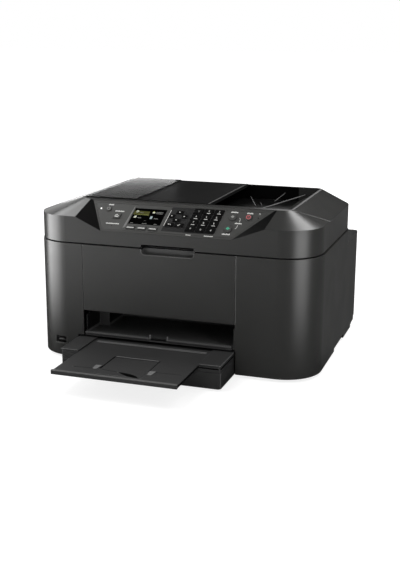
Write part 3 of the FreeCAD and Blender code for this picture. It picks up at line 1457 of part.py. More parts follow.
def feeder_cover():
    """The feeder's top cover, a shallow shell hinged along its left edge."""
    body = new_body("feeder_cover")
    ends = ("flap_front_y", "flap_rear_y")
    block(body, "shell", "y",
          ("-feeder_left", "-feeder_right", *ends, "feeder_low", "overall_height"),
          (None, None, None, "feeder_radius"))
    block(body, "inside", "z",
          ("-feeder_left + 2 * feeder_radius", "-feeder_right - wall", f"{ends[0]} + wall",
           f"{ends[1]} - wall", "feeder_low - overcut", "overall_height - wall"), cut=True)
    rod(body, "pin_front", "y", ("-feeder_hinge_place", "feeder_hinge_height"), "feeder_pin_radius",
        "well_front_y - top_pin_length", f"{ends[0]} + wall")
    rod(body, "pin_rear", "y", ("-feeder_hinge_place", "feeder_hinge_height"), "feeder_pin_radius",
        f"{ends[1]} - wall", "well_rear_y + top_pin_length")
    rod(body, "finger_notch", "z", ("-feeder_right", "front_y + notch_place"), "notch_radius",
        "overall_height - wall / 2", "overall_height + overcut", cut=True)


def document_tray():
    """The document tray, a panel that folds up and over on pins at its right edge."""
    body = new_body("document_tray")
    ends = ("flap_front_y", "flap_rear_y")
    left = "-feeder_right + top_joint"
    block(body, "panel", "z",
          (left, "doc_right", *ends, "doc_low", "doc_low + doc_thickness"))
    block(body, "inner_ledge", "z",
          (f"{left} + 2 * wall", "doc_hinge_place - 4 * wall", f"{ends[0]} + 2 * wall",
           f"{ends[1]} - 2 * wall", "doc_low - overcut", "doc_low + wall / 2"), cut=True)
    rod(body, "pin_front", "y", ("doc_hinge_place", "doc_hinge_height"), "top_pin_radius",
        "well_front_y - top_pin_length", f"{ends[0]} + wall")
    rod(body, "pin_rear", "y", ("doc_hinge_place", "doc_hinge_height"), "top_pin_radius",
        f"{ends[1]} - wall", "well_rear_y + top_pin_length")


def document_guide(label, front):
    """One of the two coupled width guides under the document tray."""
    body = new_body(label)
    edge = "guide_edge + guide_thickness"
    ends = ("flap_front_y + guide_edge", f"flap_front_y + {edge}") if front else (
        f"flap_rear_y - ({edge})", "flap_rear_y - guide_edge")
    top = "doc_low + wall / 2 - fit_gap"
    sides = ("-guide_left", "-guide_left + guide_width")
    block(body, "fence", "y", (*sides, *ends, f"{top} - guide_height", top),
          ("guide_thickness", "guide_thickness", None, None))
    foot = (ends[0], f"{ends[1]} + 2 * guide_thickness") if front else (
        f"{ends[0]} - 2 * guide_thickness", ends[1])
    block(body, "foot", "z", (*sides, *foot, f"{top} - wall", top))


def adf_roller():
    """The document feed roller on its shaft across the well."""
    body = new_body("adf_roller")
    centre = ("-adf_place", "adf_height")
    middle = "(well_front_y + well_rear_y) / 2"
    rod(body, "shaft", "y", centre, "shaft_radius", "well_front_y - top_pin_length",
        "well_rear_y + top_pin_length")
    rod(body, "tyre", "y", centre, "adf_radius", f"{middle} - adf_length / 2",
        f"{middle} + adf_length / 2")


# Checks before anything is written
def check_document():
    """Stops on a failed object, an idle cut or an invalid piece."""
    doc.recompute()
    for item in doc.Objects:
        if "Invalid" in item.State or "Error" in item.State:
            raise RuntimeError(f"{item.Label} failed: {item.State}")
        if item.TypeId in ("PartDesign::Pocket", "PartDesign::SubtractiveLoft"):
            removed = item.BaseFeature.Shape.Volume - item.Shape.Volume
            if removed < 0.01:
                raise RuntimeError(f"{item.Label} cuts nothing")
    for node in NODES:
        if node.Shape.isNull() or not node.Shape.isValid():
            raise RuntimeError(f"{node.Label} has no valid shape")


def main():
    """Builds every piece, checks the document and writes one file per piece."""
    side_cover("left_side_cover", -1)
    side_cover("right_side_cover", 1)
    base_frame()
    rubber_feet()
    rear_housing()
    rear_cover()
    sockets()
    output_frame()
    front_cover()
    roller("feed_roller", "feed_roller_depth", 1)
    roller("exit_roller", "exit_roller_depth", EXIT_SLEEVES)
    cassette_base()
    cassette_front()
    cassette_cover()
    output_tray()
    output_support()
    carriage_rail()
    carriage()
    ink_tanks()
    carriage_drive()
    circuit_boards()
    scanner_base()
    platen_glass()
    scan_carriage()
    control_panel_housing()
    panel_plate()
    display()
    keys()
    lid_shell()
    lid_pad()
    feeder_cover()
    document_tray()
    document_guide("document_guide_front", True)
    document_guide("document_guide_rear", False)
    adf_roller()
    check_document()
    os.makedirs("parts", exist_ok=True)
    for node in NODES:
        node.Shape.exportStep(f"parts/{node.Label}.step")
        print(node.Label, len(node.Shape.Solids), round(node.Shape.Volume))


main()
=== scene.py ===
"""Looks of a desktop inkjet all-in-one printer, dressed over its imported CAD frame."""

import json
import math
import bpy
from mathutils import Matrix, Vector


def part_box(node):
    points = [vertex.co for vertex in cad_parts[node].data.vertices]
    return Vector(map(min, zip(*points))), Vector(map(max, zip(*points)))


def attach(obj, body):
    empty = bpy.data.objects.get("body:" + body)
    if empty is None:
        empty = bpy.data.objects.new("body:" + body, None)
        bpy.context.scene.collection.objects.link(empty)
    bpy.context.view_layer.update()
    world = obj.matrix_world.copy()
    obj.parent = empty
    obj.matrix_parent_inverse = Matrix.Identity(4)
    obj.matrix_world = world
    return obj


bl_info = {
    "name": "Inkjet printer dressing",
    "version": (1, 0, 0),
    "blender": (4, 5, 0),
    "location": "View3D > Sidebar > Printer",
    "description": "Finishes, key signs, screen and studio for the inkjet printer frame",
    "category": "Object",
}

import bmesh
import bpy
from bpy.props import FloatProperty, FloatVectorProperty, PointerProperty
from mathutils import Matrix, Vector

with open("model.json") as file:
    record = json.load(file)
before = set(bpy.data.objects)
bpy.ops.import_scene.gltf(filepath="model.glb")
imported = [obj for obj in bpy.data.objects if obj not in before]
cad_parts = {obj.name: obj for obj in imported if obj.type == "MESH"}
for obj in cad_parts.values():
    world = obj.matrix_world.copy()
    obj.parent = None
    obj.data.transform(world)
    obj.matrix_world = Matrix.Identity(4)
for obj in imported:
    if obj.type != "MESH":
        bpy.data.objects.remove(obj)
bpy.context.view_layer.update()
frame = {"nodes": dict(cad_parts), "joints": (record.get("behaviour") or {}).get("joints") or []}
NODES = frame["nodes"]
MM = 0.001


def grey(level, blue=None):
    """A grey, or one with its own level of blue."""
    return (level, level, level if blue is None else blue)


# The control panel's slope: foot on the front face, axes to the right, up the slope and out of it
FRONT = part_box("front_cover")[0].y
PRESS = Vector(next(joint["axis"] for joint in frame["joints"] if joint["name"] == "key_5_press"))
PANEL_OUT = -PRESS.normalized()
PANEL_RIGHT = Vector((1.0, 0.0, 0.0))
PANEL_UP = PANEL_OUT.cross(PANEL_RIGHT)
PANEL_FOOT = Vector((0.0, FRONT, 214.5 * MM))
PANEL_LEAN = 0.25

# The front cover's finger recess, and the memory socket's window in millimetres: left, right, bottom and top
RECESS_HALF = 43.0 * MM
RECESS_DROP = 9.2 * MM
RECESS_ROUND = 6.0 * MM
SOCKET = (-193.0, -173.0, 25.5, 36.5)

# Thickness of printed marks, and how deep they bite into what carries them, in millimetres
INK = 0.06
BITE = 0.03

# Roughness of trays and panel parts, and how nearly a face has to look one way to take a patch
TRAY_ROUGHNESS = 0.42
PANEL_ROUGHNESS = 0.5
NEARLY = 0.9

# Sockets of a Mix node that mixes colours
MIX_FACTOR, MIX_FIRST, MIX_SECOND, MIX_RESULT = 0, 6, 7, 2
WHITE = (1.0, 1.0, 1.0, 1.0)

SIDE_NODES = ("left_side_cover", "right_side_cover")
REAR_NODES = ("rear_housing", "rear_cover")
TRAY_NODES = ("cassette_base", "cassette_front", "cassette_cover", "output_support")
INNER_NODES = ("base_frame", "carriage", "scanner_base", "scan_carriage", "sockets",
               "document_guide_front", "document_guide_rear")
RUBBER_NODES = ("rubber_feet", "feed_roller", "exit_roller", "adf_roller")
FUNCTION_KEYS = ("function_button_left", "function_button_middle", "function_button_right")
NUMBER_KEYS = {"key_1": "1", "key_2": "2", "key_3": "3", "key_4": "4", "key_5": "5", "key_6": "6",
               "key_7": "7", "key_8": "8", "key_9": "9", "key_star": "*", "key_0": "0", "key_hash": "#"}
BLACK_KEYS = (*NUMBER_KEYS, "arrow_up", "arrow_left", "arrow_right", "arrow_down", "back_button",
              "ok_button")
PLATE_KEYS = ("power_button", "home_button", "black_start_button", "colour_start_button", "stop_button")


# Settings
def colour(name, description, default):
    """A colour setting."""
    return FloatVectorProperty(name=name, description=description, default=default, subtype="COLOR",
                               size=3, min=0.0, max=1.0)


def share(name, description, default):
    """A setting from 0 to 1."""
    return FloatProperty(name=name, description=description, default=default, min=0.0, max=1.0,
                         subtype="FACTOR")


def angle(name, description, degrees):
    """An angle setting."""
    return FloatProperty(name=name, description=description, default=math.radians(degrees), subtype="ANGLE")


def power(name, description, default):
    """A lamp's power setting."""
    return FloatProperty(name=name, description=description, default=default, min=0.0, unit="POWER")


class PrinterFinish(bpy.types.PropertyGroup):
    """Colours and finishes of the printer."""
    body: colour("Body", "Charcoal of the covers", grey(0.026, 0.025))
    lid: colour("Lid", "Near black of the feeder cover and document tray", grey(0.010))
    rear: colour("Rear", "Black of the rear unit", grey(0.016))
    # Painted shade: near black painted on the feeder's well, the bezel's facets, the sill's notch and the
    # output tray's right side
    shade: colour("Shaded plastic", "Black of the well and the bezel's facets", grey(0.002))
    panel: colour("Panel", "Grey of the control panel", grey(0.046, 0.044))
    field: colour("Key field", "Dark field behind the keys", grey(0.014))
    tray: colour("Tray", "Charcoal of the cassette and trays", grey(0.031))
    inner: colour("Inside", "Black of the inner mouldings", grey(0.006))
    exit: colour("Paper exit", "Dark grey of the exit's sill", grey(0.05))
    mark: colour("Marks", "Printed signs and captions", grey(0.62, 0.60))
    body_roughness: share("Body roughness", "Roughness of the covers", 0.33)
    lid_roughness: share("Lid roughness", "Roughness of the feeder cover", 0.21)
    edge_radius: FloatProperty(name="Edge radius", description="Rounding seen on moulded edges",
                               default=0.7 * MM, min=0.0, unit="LENGTH")


class PrinterStage(bpy.types.PropertyGroup):
    """Studio and camera."""
    azimuth: angle("Azimuth", "Camera's turn to the printer's right", 18.58)
    elevation: angle("Elevation", "Camera's tilt down", 14.59)
    roll: angle("Roll", "Camera's roll", 0.24)
    camera_place: FloatVectorProperty(name="Camera", description="Where the camera stands",
                                      default=(0.51574, -1.49107, 0.52002), subtype="TRANSLATION",
                                      unit="LENGTH")
    lens: FloatProperty(name="Lens", description="Focal length in millimetres", default=62.57)
    left_power: power("Left softbox", "Power of the strip on the left", 6.0)
    right_power: power("Right softbox", "Power of the strip on the right", 2.5)
    top_power: power("Top softbox", "Power of the softbox over the front left", 20.0)
    crown_power: power("Crown softbox", "Power of the small softbox over the right", 8.0)
    rear_power: power("Rear softbox", "Power of the softbox behind", 14.0)
    fill: FloatProperty(name="Fill", description="Strength of the even light from all round",
                        default=0.35, min=0.0)


# Shader node helpers
def add_node(tree, kind, inputs=None, **settings):
    """Adds a shader node, sets its options, and sets or links its inputs."""
    node = tree.nodes.new(kind)
    for name, option in settings.items():
        setattr(node, name, option)
    for key, source in (inputs or {}).items():
        if isinstance(source, bpy.types.NodeSocket):
            tree.links.new(source, node.inputs[key])
        else:
            node.inputs[key].default_value = source
    return node


def math_node(tree, operation, first, second=0.0, clamp=False):
    """The output of one arithmetic step."""
    node = add_node(tree, "ShaderNodeMath", {0: first, 1: second}, operation=operation, use_clamp=clamp)
    return node.outputs[0]


def object_place(tree):
    """Where a point lies in the frame, in metres."""
    return tree.nodes.new("ShaderNodeTexCoord").outputs["Object"]


def new_group(name, inputs, outputs):
    """A shader node group with named value inputs and typed outputs."""
    tree = bpy.data.node_groups.new(name, "ShaderNodeTree")
    for label, default in inputs.items():
        socket = tree.interface.new_socket(label, in_out="INPUT", socket_type="NodeSocketFloat")
        socket.default_value = default
    for label, kind in outputs.items():
        tree.interface.new_socket(label, in_out="OUTPUT", socket_type=kind)
    enter = tree.nodes.new("NodeGroupInput")
    leave = tree.nodes.new("NodeGroupOutput")
    return tree, enter.outputs, leave.inputs


def use_group(tree, name, **inputs):
    """Places a shared node group in a material and returns its outputs."""
    node = add_node(tree, "ShaderNodeGroup", node_tree=bpy.data.node_groups[name])
    for label, number in inputs.items():
        node.inputs[label.replace("_", " ").capitalize()].default_value = number
    return node.outputs


def make_shared_groups():
    """Builds the effects that several finishes share."""
    tree, given, out = new_group("Moulded grain", {"Scale": 2200.0},
                                 {"Height": "NodeSocketFloat", "Shade": "NodeSocketFloat"})
    place = object_place(tree)
    pits = add_node(tree, "ShaderNodeTexVoronoi", {"Vector": place, "Scale": given["Scale"]},
                    feature="SMOOTH_F1")
    cloud = add_node(tree, "ShaderNodeTexNoise", {"Vector": place, "Scale": given["Scale"], "Detail": 3.0})
    tree.links.new(math_node(tree, "MULTIPLY", pits.outputs["Distance"], cloud.outputs["Fac"]),
                   out["Height"])
    broad = add_node(tree, "ShaderNodeTexNoise", {"Vector": place, "Scale": 9.0, "Detail": 4.0})
    shade = add_node(tree, "ShaderNodeMapRange",
                     {"Value": broad.outputs["Fac"], "From Min": 0.3, "From Max": 0.7, "To Min": 0.93,
                      "To Max": 1.07})
    tree.links.new(shade.outputs["Result"], out["Shade"])

    # Rounded edge: a bevelled normal, and an edge mask with which plastic() paints a highlight along edges
    tree, given, out = new_group("Rounded edge", {"Radius": 0.001},
                                 {"Normal": "NodeSocketVector", "Edge": "NodeSocketFloat"})
    bevel = add_node(tree, "ShaderNodeBevel", {"Radius": given["Radius"]}, samples=6)
    plain = tree.nodes.new("ShaderNodeNewGeometry").outputs["Normal"]
    facing = add_node(tree, "ShaderNodeVectorMath", {0: bevel.outputs["Normal"], 1: plain},
                      operation="DOT_PRODUCT")
    turned = math_node(tree, "SUBTRACT", 1.0, facing.outputs["Value"], clamp=True)
    tree.links.new(bevel.outputs["Normal"], out["Normal"])
    tree.links.new(math_node(tree, "MULTIPLY", turned, 3.0, clamp=True), out["Edge"])

    tree, given, out = new_group("Handling marks", {"Level": 0.4, "Spread": 0.08},
                                 {"Roughness": "NodeSocketFloat"})
    place = object_place(tree)
    smear = add_node(tree, "ShaderNodeTexNoise",
                     {"Vector": place, "Scale": 14.0, "Detail": 6.0, "Distortion": 0.8})
    centred = math_node(tree, "SUBTRACT", smear.outputs["Fac"], 0.5)
    shift = math_node(tree, "MULTIPLY", centred, given["Spread"])
    tree.links.new(math_node(tree, "ADD", shift, given["Level"], clamp=True), out["Roughness"])

    tree, given, out = new_group("Panel field", {"Left": 0.0, "Right": 0.0, "Low": 0.0, "High": 0.0,
                                                 "Depth": 1.0}, {"Mask": "NodeSocketFloat"})
    place = object_place(tree)
    local = add_node(tree, "ShaderNodeVectorMath", {0: place, 1: PANEL_FOOT}, operation="SUBTRACT")
    across = add_node(tree, "ShaderNodeVectorMath",
                      {0: local.outputs[0], 1: PANEL_RIGHT - PANEL_UP * PANEL_LEAN},
                      operation="DOT_PRODUCT")
    along = add_node(tree, "ShaderNodeVectorMath", {0: local.outputs[0], 1: PANEL_UP},
                     operation="DOT_PRODUCT")
    inside = None
    for source, low, high in ((across, "Left", "Right"), (along, "Low", "High")):
        above = math_node(tree, "GREATER_THAN", source.outputs["Value"], given[low])
        below = math_node(tree, "LESS_THAN", source.outputs["Value"], given[high])
        both = math_node(tree, "MULTIPLY", above, below)
        inside = both if inside is None else math_node(tree, "MULTIPLY", inside, both)
    lift = add_node(tree, "ShaderNodeVectorMath", {0: local.outputs[0], 1: PANEL_OUT},
                    operation="DOT_PRODUCT")
    away = math_node(tree, "ABSOLUTE", lift.outputs["Value"])
    level = math_node(tree, "LESS_THAN", away, given["Depth"])
    tree.links.new(math_node(tree, "MULTIPLY", inside, level), out["Mask"])

    sides = ("Left", "Right", "Front", "Back", "Low", "High")
    tree, given, out = new_group("Room", dict.fromkeys(sides, 0.0), {"Mask": "NodeSocketFloat"})
    place = object_place(tree)
    parts = add_node(tree, "ShaderNodeSeparateXYZ", {0: place})
    inside = None
    for number, axis in enumerate("XYZ"):
        above = math_node(tree, "GREATER_THAN", parts.outputs[axis], given[sides[2 * number]])
        below = math_node(tree, "LESS_THAN", parts.outputs[axis], given[sides[2 * number + 1]])
        both = math_node(tree, "MULTIPLY", above, below)
        inside = both if inside is None else math_node(tree, "MULTIPLY", inside, both)
    tree.links.new(inside, out["Mask"])

    tree, given, out = new_group("Facing", {"Across": 0.0, "Along": 0.0, "Up": 0.0, "Limit": 0.99},
                                 {"Mask": "NodeSocketFloat"})
    plain = tree.nodes.new("ShaderNodeNewGeometry").outputs["True Normal"]
    way = add_node(tree, "ShaderNodeCombineXYZ", {0: given["Across"], 1: given["Along"], 2: given["Up"]})
    towards = add_node(tree, "ShaderNodeVectorMath", {0: plain, 1: way.outputs[0]}, operation="DOT_PRODUCT")
    tree.links.new(math_node(tree, "GREATER_THAN", towards.outputs["Value"], given["Limit"]), out["Mask"])


def rgba(tone):
    """A colour with its alpha; a socket stays as it is."""
    return tone if isinstance(tone, bpy.types.NodeSocket) else (*tone, 1.0)


def mix_colours(tree, factor, first, second, blend="MIX"):
    """A colour between two, each given as a colour or a socket."""
    sources = {MIX_FACTOR: factor, MIX_FIRST: rgba(first), MIX_SECOND: rgba(second)}
    return add_node(tree, "ShaderNodeMix", sources, data_type="RGBA", blend_type=blend).outputs[MIX_RESULT]


def shaded(tree, tone, shade):
    """A colour lightened or darkened by a varying shade."""
    level = add_node(tree, "ShaderNodeCombineColor", {0: shade, 1: shade, 2: shade})
    return mix_colours(tree, 1.0, tone, level.outputs[0], "MULTIPLY")


def room(left, right, front, back, low, high, tone):
    """A patch of another tone inside a box, in metres."""
    bounds = {"left": left, "right": right, "front": front, "back": back, "low": low, "high": high}
    return "Room", bounds, tone


def add_marks(tree, shader, level, spread):
    """Gives a shader its roughness, varied by handling marks."""
    marks = use_group(tree, "Handling marks", level=level, spread=spread)
    tree.links.new(marks["Roughness"], shader.inputs["Roughness"])


def new_material(name):
    """An empty node material and its shader."""
    material = bpy.data.materials.new(name)
    material.use_nodes = True
    tree = material.node_tree
    return material, tree, tree.nodes["Principled BSDF"]


def plastic(name, tone, roughness, specular=0.3, grain=2200.0, depth=0.02, edge_light=1.6, spread=0.1,
            patches=()):
    """A moulded plastic: fine grain, softened edges with a painted highlight, slight handling marks, and
    patches of another tone, each given as a mask, its bounds and the tone; some patches are painted shade and
    some painted light."""
    finish = bpy.context.scene.printer_finish
    material, tree, shader = new_material(name)
    moulded = use_group(tree, "Moulded grain", scale=grain)
    edge = use_group(tree, "Rounded edge", radius=finish.edge_radius)
    base = tuple(tone)
    for mask, bounds, patch_tone in patches:
        base = mix_colours(tree, use_group(tree, mask, **bounds)["Mask"], base, tuple(patch_tone))
    varied = shaded(tree, base, moulded["Shade"])
    # Painted highlight: edges take a paler copy of the tone, edge_light times as bright
    painted_edge_highlight = tuple(min(1.0, channel * edge_light + 0.004) for channel in tone)
    tree.links.new(mix_colours(tree, edge["Edge"], varied, painted_edge_highlight), shader.inputs["Base Color"])
    add_marks(tree, shader, roughness, spread)
    shader.inputs["Specular IOR Level"].default_value = specular
    bump = add_node(tree, "ShaderNodeBump", {"Strength": depth, "Distance": 0.1 * MM,
                                             "Height": moulded["Height"], "Normal": edge["Normal"]})
    tree.links.new(bump.outputs["Normal"], shader.inputs["Normal"])
    return material


def printed(name, tone, glow=0.0, specular=0.2):
    """A printed mark or a lit part of the screen."""
    material, tree, shader = new_material(name)
    moulded = use_group(tree, "Moulded grain", scale=5000.0)
    tint = shaded(tree, tuple(tone), moulded["Shade"])
    tree.links.new(tint, shader.inputs["Base Color"])
    shader.inputs["Roughness"].default_value = 0.5
    shader.inputs["Specular IOR Level"].default_value = specular
    if glow:
        tree.links.new(tint, shader.inputs["Emission Color"])
        shader.inputs["Emission Strength"].default_value = glow
    return material


def metal(name, tone, roughness):
    """Rolled or plated metal with fine lines along X."""
    material, tree, shader = new_material(name)
    place = object_place(tree)
    stretch = add_node(tree, "ShaderNodeMapping", {"Vector": place, "Scale": (30.0, 2500.0, 2500.0)})
    lines = add_node(tree, "ShaderNodeTexNoise",
                     {"Vector": stretch.outputs[0], "Scale": 1.0, "Detail": 3.0})
    shade = add_node(tree, "ShaderNodeMapRange",
                     {"Value": lines.outputs["Fac"], "To Min": 0.8, "To Max": 1.2})
    tree.links.new(shaded(tree, tone, shade.outputs["Result"]), shader.inputs["Base Color"])
    add_marks(tree, shader, roughness, 0.2)
    shader.inputs["Metallic"].default_value = 1.0
    return material


def board_finish():
    """Green circuit board with paler tracks."""
    material, tree, shader = new_material("circuit_board")
    place = object_place(tree)
    tracks = add_node(tree, "ShaderNodeTexBrick", {
        "Vector": place, "Scale": 180.0, "Mortar Size": 0.03, "Color1": (0.012, 0.07, 0.03, 1.0),
        "Color2": (0.010, 0.06, 0.028, 1.0), "Mortar": (0.05, 0.16, 0.07, 1.0)})
    tree.links.new(tracks.outputs["Color"], shader.inputs["Base Color"])
    add_marks(tree, shader, 0.4, 0.2)
    return material


def glass_finish():
    """Clear scanning glass with faint smears."""
    material, tree, shader = new_material("scanning_glass")
    shader.inputs["Base Color"].default_value = (0.88, 0.92, 0.91, 1.0)
    shader.inputs["Transmission Weight"].default_value = 1.0
    shader.inputs["IOR"].default_value = 1.5
    add_marks(tree, shader, 0.03, 0.05)
    return material


def tank_finish():
    """Ink tanks: black shells whose tops take the ink's colour, by place across the carriage."""
    material, tree, shader = new_material("ink_tank_plastic")
    low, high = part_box("ink_tanks")
    place = object_place(tree)
    parts = add_node(tree, "ShaderNodeSeparateXYZ", {0: place})
    across = add_node(tree, "ShaderNodeMapRange", {"Value": parts.outputs["X"], "From Min": low.x,
                                                   "From Max": high.x})
    ramp = add_node(tree, "ShaderNodeValToRGB", {"Fac": across.outputs["Result"]})
    ramp.color_ramp.interpolation = "CONSTANT"
    inks = ((0.0, grey(0.02)), (0.345, (0.0, 0.25, 0.55)), (0.565, (0.5, 0.02, 0.2)),
            (0.785, (0.75, 0.55, 0.02)))
    while len(ramp.color_ramp.elements) < len(inks):
        ramp.color_ramp.elements.new(0.5)
    for stop, (place_share, tone) in zip(ramp.color_ramp.elements, inks):
        stop.position = place_share
        stop.color = (*tone, 1.0)
    high_part = math_node(tree, "GREATER_THAN", parts.outputs["Z"], low.z + 0.7 * (high.z - low.z))
    tree.links.new(mix_colours(tree, high_part, grey(0.012), ramp.outputs["Color"]),
                   shader.inputs["Base Color"])
    add_marks(tree, shader, 0.3, 0.15)
    return material


def finish_nodes(names, material):
    """Gives CAD nodes their finish."""
    for name in names:
        slots = NODES[name].data.materials
        slots.clear()
        slots.append(material)


# Mesh helpers
def panel_matrix(u, w, lift=0.0):
    """From a flat drawing in millimetres to a place on the panel's slope."""
    turn = Matrix((PANEL_RIGHT, PANEL_UP, PANEL_OUT)).transposed().to_4x4()
    spot = PANEL_FOOT + PANEL_RIGHT * (u * MM) + PANEL_UP * (w * MM) + PANEL_OUT * (lift * MM)
    return Matrix.Translation(spot) @ turn @ Matrix.Scale(MM, 4)


def level_matrix(place):
    """From a flat drawing in millimetres to a level place in metres."""
    return Matrix.Translation(place) @ Matrix.Scale(MM, 4)


def arc(centre, radius, start, end, steps):
    """Points round part of a circle, angles in degrees."""
    turns = [math.radians(start + (end - start) * step / steps) for step in range(steps + 1)]
    return [(centre[0] + radius * math.cos(t), centre[1] + radius * math.sin(t)) for t in turns]


def disc(u, w, radius):
    """A small round of twelve points."""
    return arc((u, w), radius, 0.0, 330.0, 11)


def bar(u, w, width, height, lean=0.0, radius=0.35):
    """A bar with rounded ends about a place, leaning if asked."""
    radius = min(radius, width / 2, height / 2)
    half = (width / 2 - radius, height / 2 - radius)
    corners = ((half[0], half[1], 0), (-half[0], half[1], 90), (-half[0], -half[1], 180),
               (half[0], -half[1], 270))
    points = [p for x, y, start in corners for p in arc((x, y), radius, start, start + 90, 3)]
    return [(u + x + lean * y, w + y) for x, y in points]


def stroke(path, width):
    """A band of even width along a path of points."""
    sides = ([], [])
    for number, point in enumerate(path):
        before = Vector(path[max(number - 1, 0)])
        after = Vector(path[min(number + 1, len(path) - 1)])
        run = (after - before).normalized()
        across = Vector((-run.y, run.x)) * width / 2
        sides[0].append(tuple(Vector(point) + across))
        sides[1].append(tuple(Vector(point) - across))
    return sides[0] + sides[1][::-1]


def ring(u, w, radius, width, start=0.0, end=360.0, steps=28):
    """A ring, or part of one, as a band."""
    return stroke(arc((u, w), radius, start, end, steps), width)


def caption(u, w, width, height, seed):
    """A row of small blocks that stands where a caption is printed."""
    blocks = []
    left = u - width / 2
    step = 0
    while left < u + width / 2 - 0.3:
        block = height * (0.42 + 0.2 * ((seed * 7 + step * 5) % 4) / 3)
        tall = height * (0.72 + 0.28 * ((seed * 3 + step * 11) % 3) / 2)
        blocks.append(bar(left + block / 2, w - (height - tall) / 2, block, tall, radius=0.12))
        left += block + height * 0.16
        step += 1
    return blocks


def add_prism(mesh, outline, low, high, slot=0):
    """Adds a flat shape of some thickness to a mesh being built."""
    top = [mesh.verts.new((x, y, high)) for x, y in outline]
    base = [mesh.verts.new((x, y, low)) for x, y in outline]
    faces = [mesh.faces.new(top), mesh.faces.new(base[::-1])]
    for number in range(len(outline)):
        following = (number + 1) % len(outline)
        faces.append(mesh.faces.new((top[number], base[number], base[following], top[following])))
    for face in faces:
        face.material_index = slot


def new_object(name, data):
    """A new object in the scene."""
    item = bpy.data.objects.new(name, data)
    bpy.context.scene.collection.objects.link(item)
    return item


def piece_from(mesh, name, body, materials, matrix):
    """Turns a mesh being built into a piece that rides a body."""
    bmesh.ops.recalc_face_normals(mesh, faces=mesh.faces[:])
    mesh.transform(matrix)
    data = bpy.data.meshes.new(name)
    mesh.to_mesh(data)
    mesh.free()
    for material in materials:
        data.materials.append(material)
    piece = new_object(name, data)
    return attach(piece, body)


def flat_piece(name, body, outlines, materials, matrix, low=-BITE, high=INK):
    """A piece of flat shapes; an outline may come with the number of its material."""
    mesh = bmesh.new()
    for outline in outlines:
        slot, points = outline if isinstance(outline[0], int) else (0, outline)
        add_prism(mesh, points, low, high, slot)
    return piece_from(mesh, name, body, materials, matrix)


def drawn_mesh(drawing):
    """The mesh that a curve or a text makes; the drawing itself is removed."""
    carrier = new_object(drawing.name, drawing)
    evaluated = carrier.evaluated_get(bpy.context.evaluated_depsgraph_get())
    data = bpy.data.meshes.new_from_object(evaluated)
    bpy.data.objects.remove(carrier)
    bpy.data.curves.remove(drawing)
    return data


def wire_piece(name, body, paths, radius, material):
    """Round wires or beads, each through the given places, as a piece that rides a body."""
    drawing = bpy.data.curves.new("wire_drawing", "CURVE")
    drawing.dimensions = "3D"
    drawing.bevel_depth = radius
    drawing.bevel_resolution = 3
    drawing.use_fill_caps = True
    for path in paths:
        spline = drawing.splines.new("POLY")
        spline.points.add(len(path) - 1)
        for point, place in zip(spline.points, path):
            point.co = (*place, 1.0)
    data = drawn_mesh(drawing)
    mesh = bmesh.new()
    mesh.from_mesh(data)
    bpy.data.meshes.remove(data)
    return piece_from(mesh, name, body, [material], Matrix.Identity(4))


def glyph_outline(sign, size, place):
    """A digit or sign as a mesh in a flat drawing in millimetres."""
    drawing = bpy.data.curves.new("sign_drawing", "FONT")
    drawing.body = sign
    drawing.size = size
    drawing.align_x = "CENTER"
    drawing.align_y = "CENTER"
    drawing.extrude = INK
    data = drawn_mesh(drawing)
    data.transform(Matrix.Translation((place[0], place[1], 0.0)))
    return data


def key_face(name):
    """A key's face: its middle across and up the slope, and its level, in millimetres."""
    spots = [vertex.co - PANEL_FOOT for vertex in NODES[name].data.vertices]
    level = max(spot.dot(PANEL_OUT) for spot in spots)
    face = [spot for spot in spots if spot.dot(PANEL_OUT) > level - 0.2 * MM]
    across = [spot.dot(PANEL_RIGHT) for spot in face]
    along = [spot.dot(PANEL_UP) for spot in face]
    return ((min(across) + max(across)) / 2 / MM, (min(along) + max(along)) / 2 / MM, level / MM)


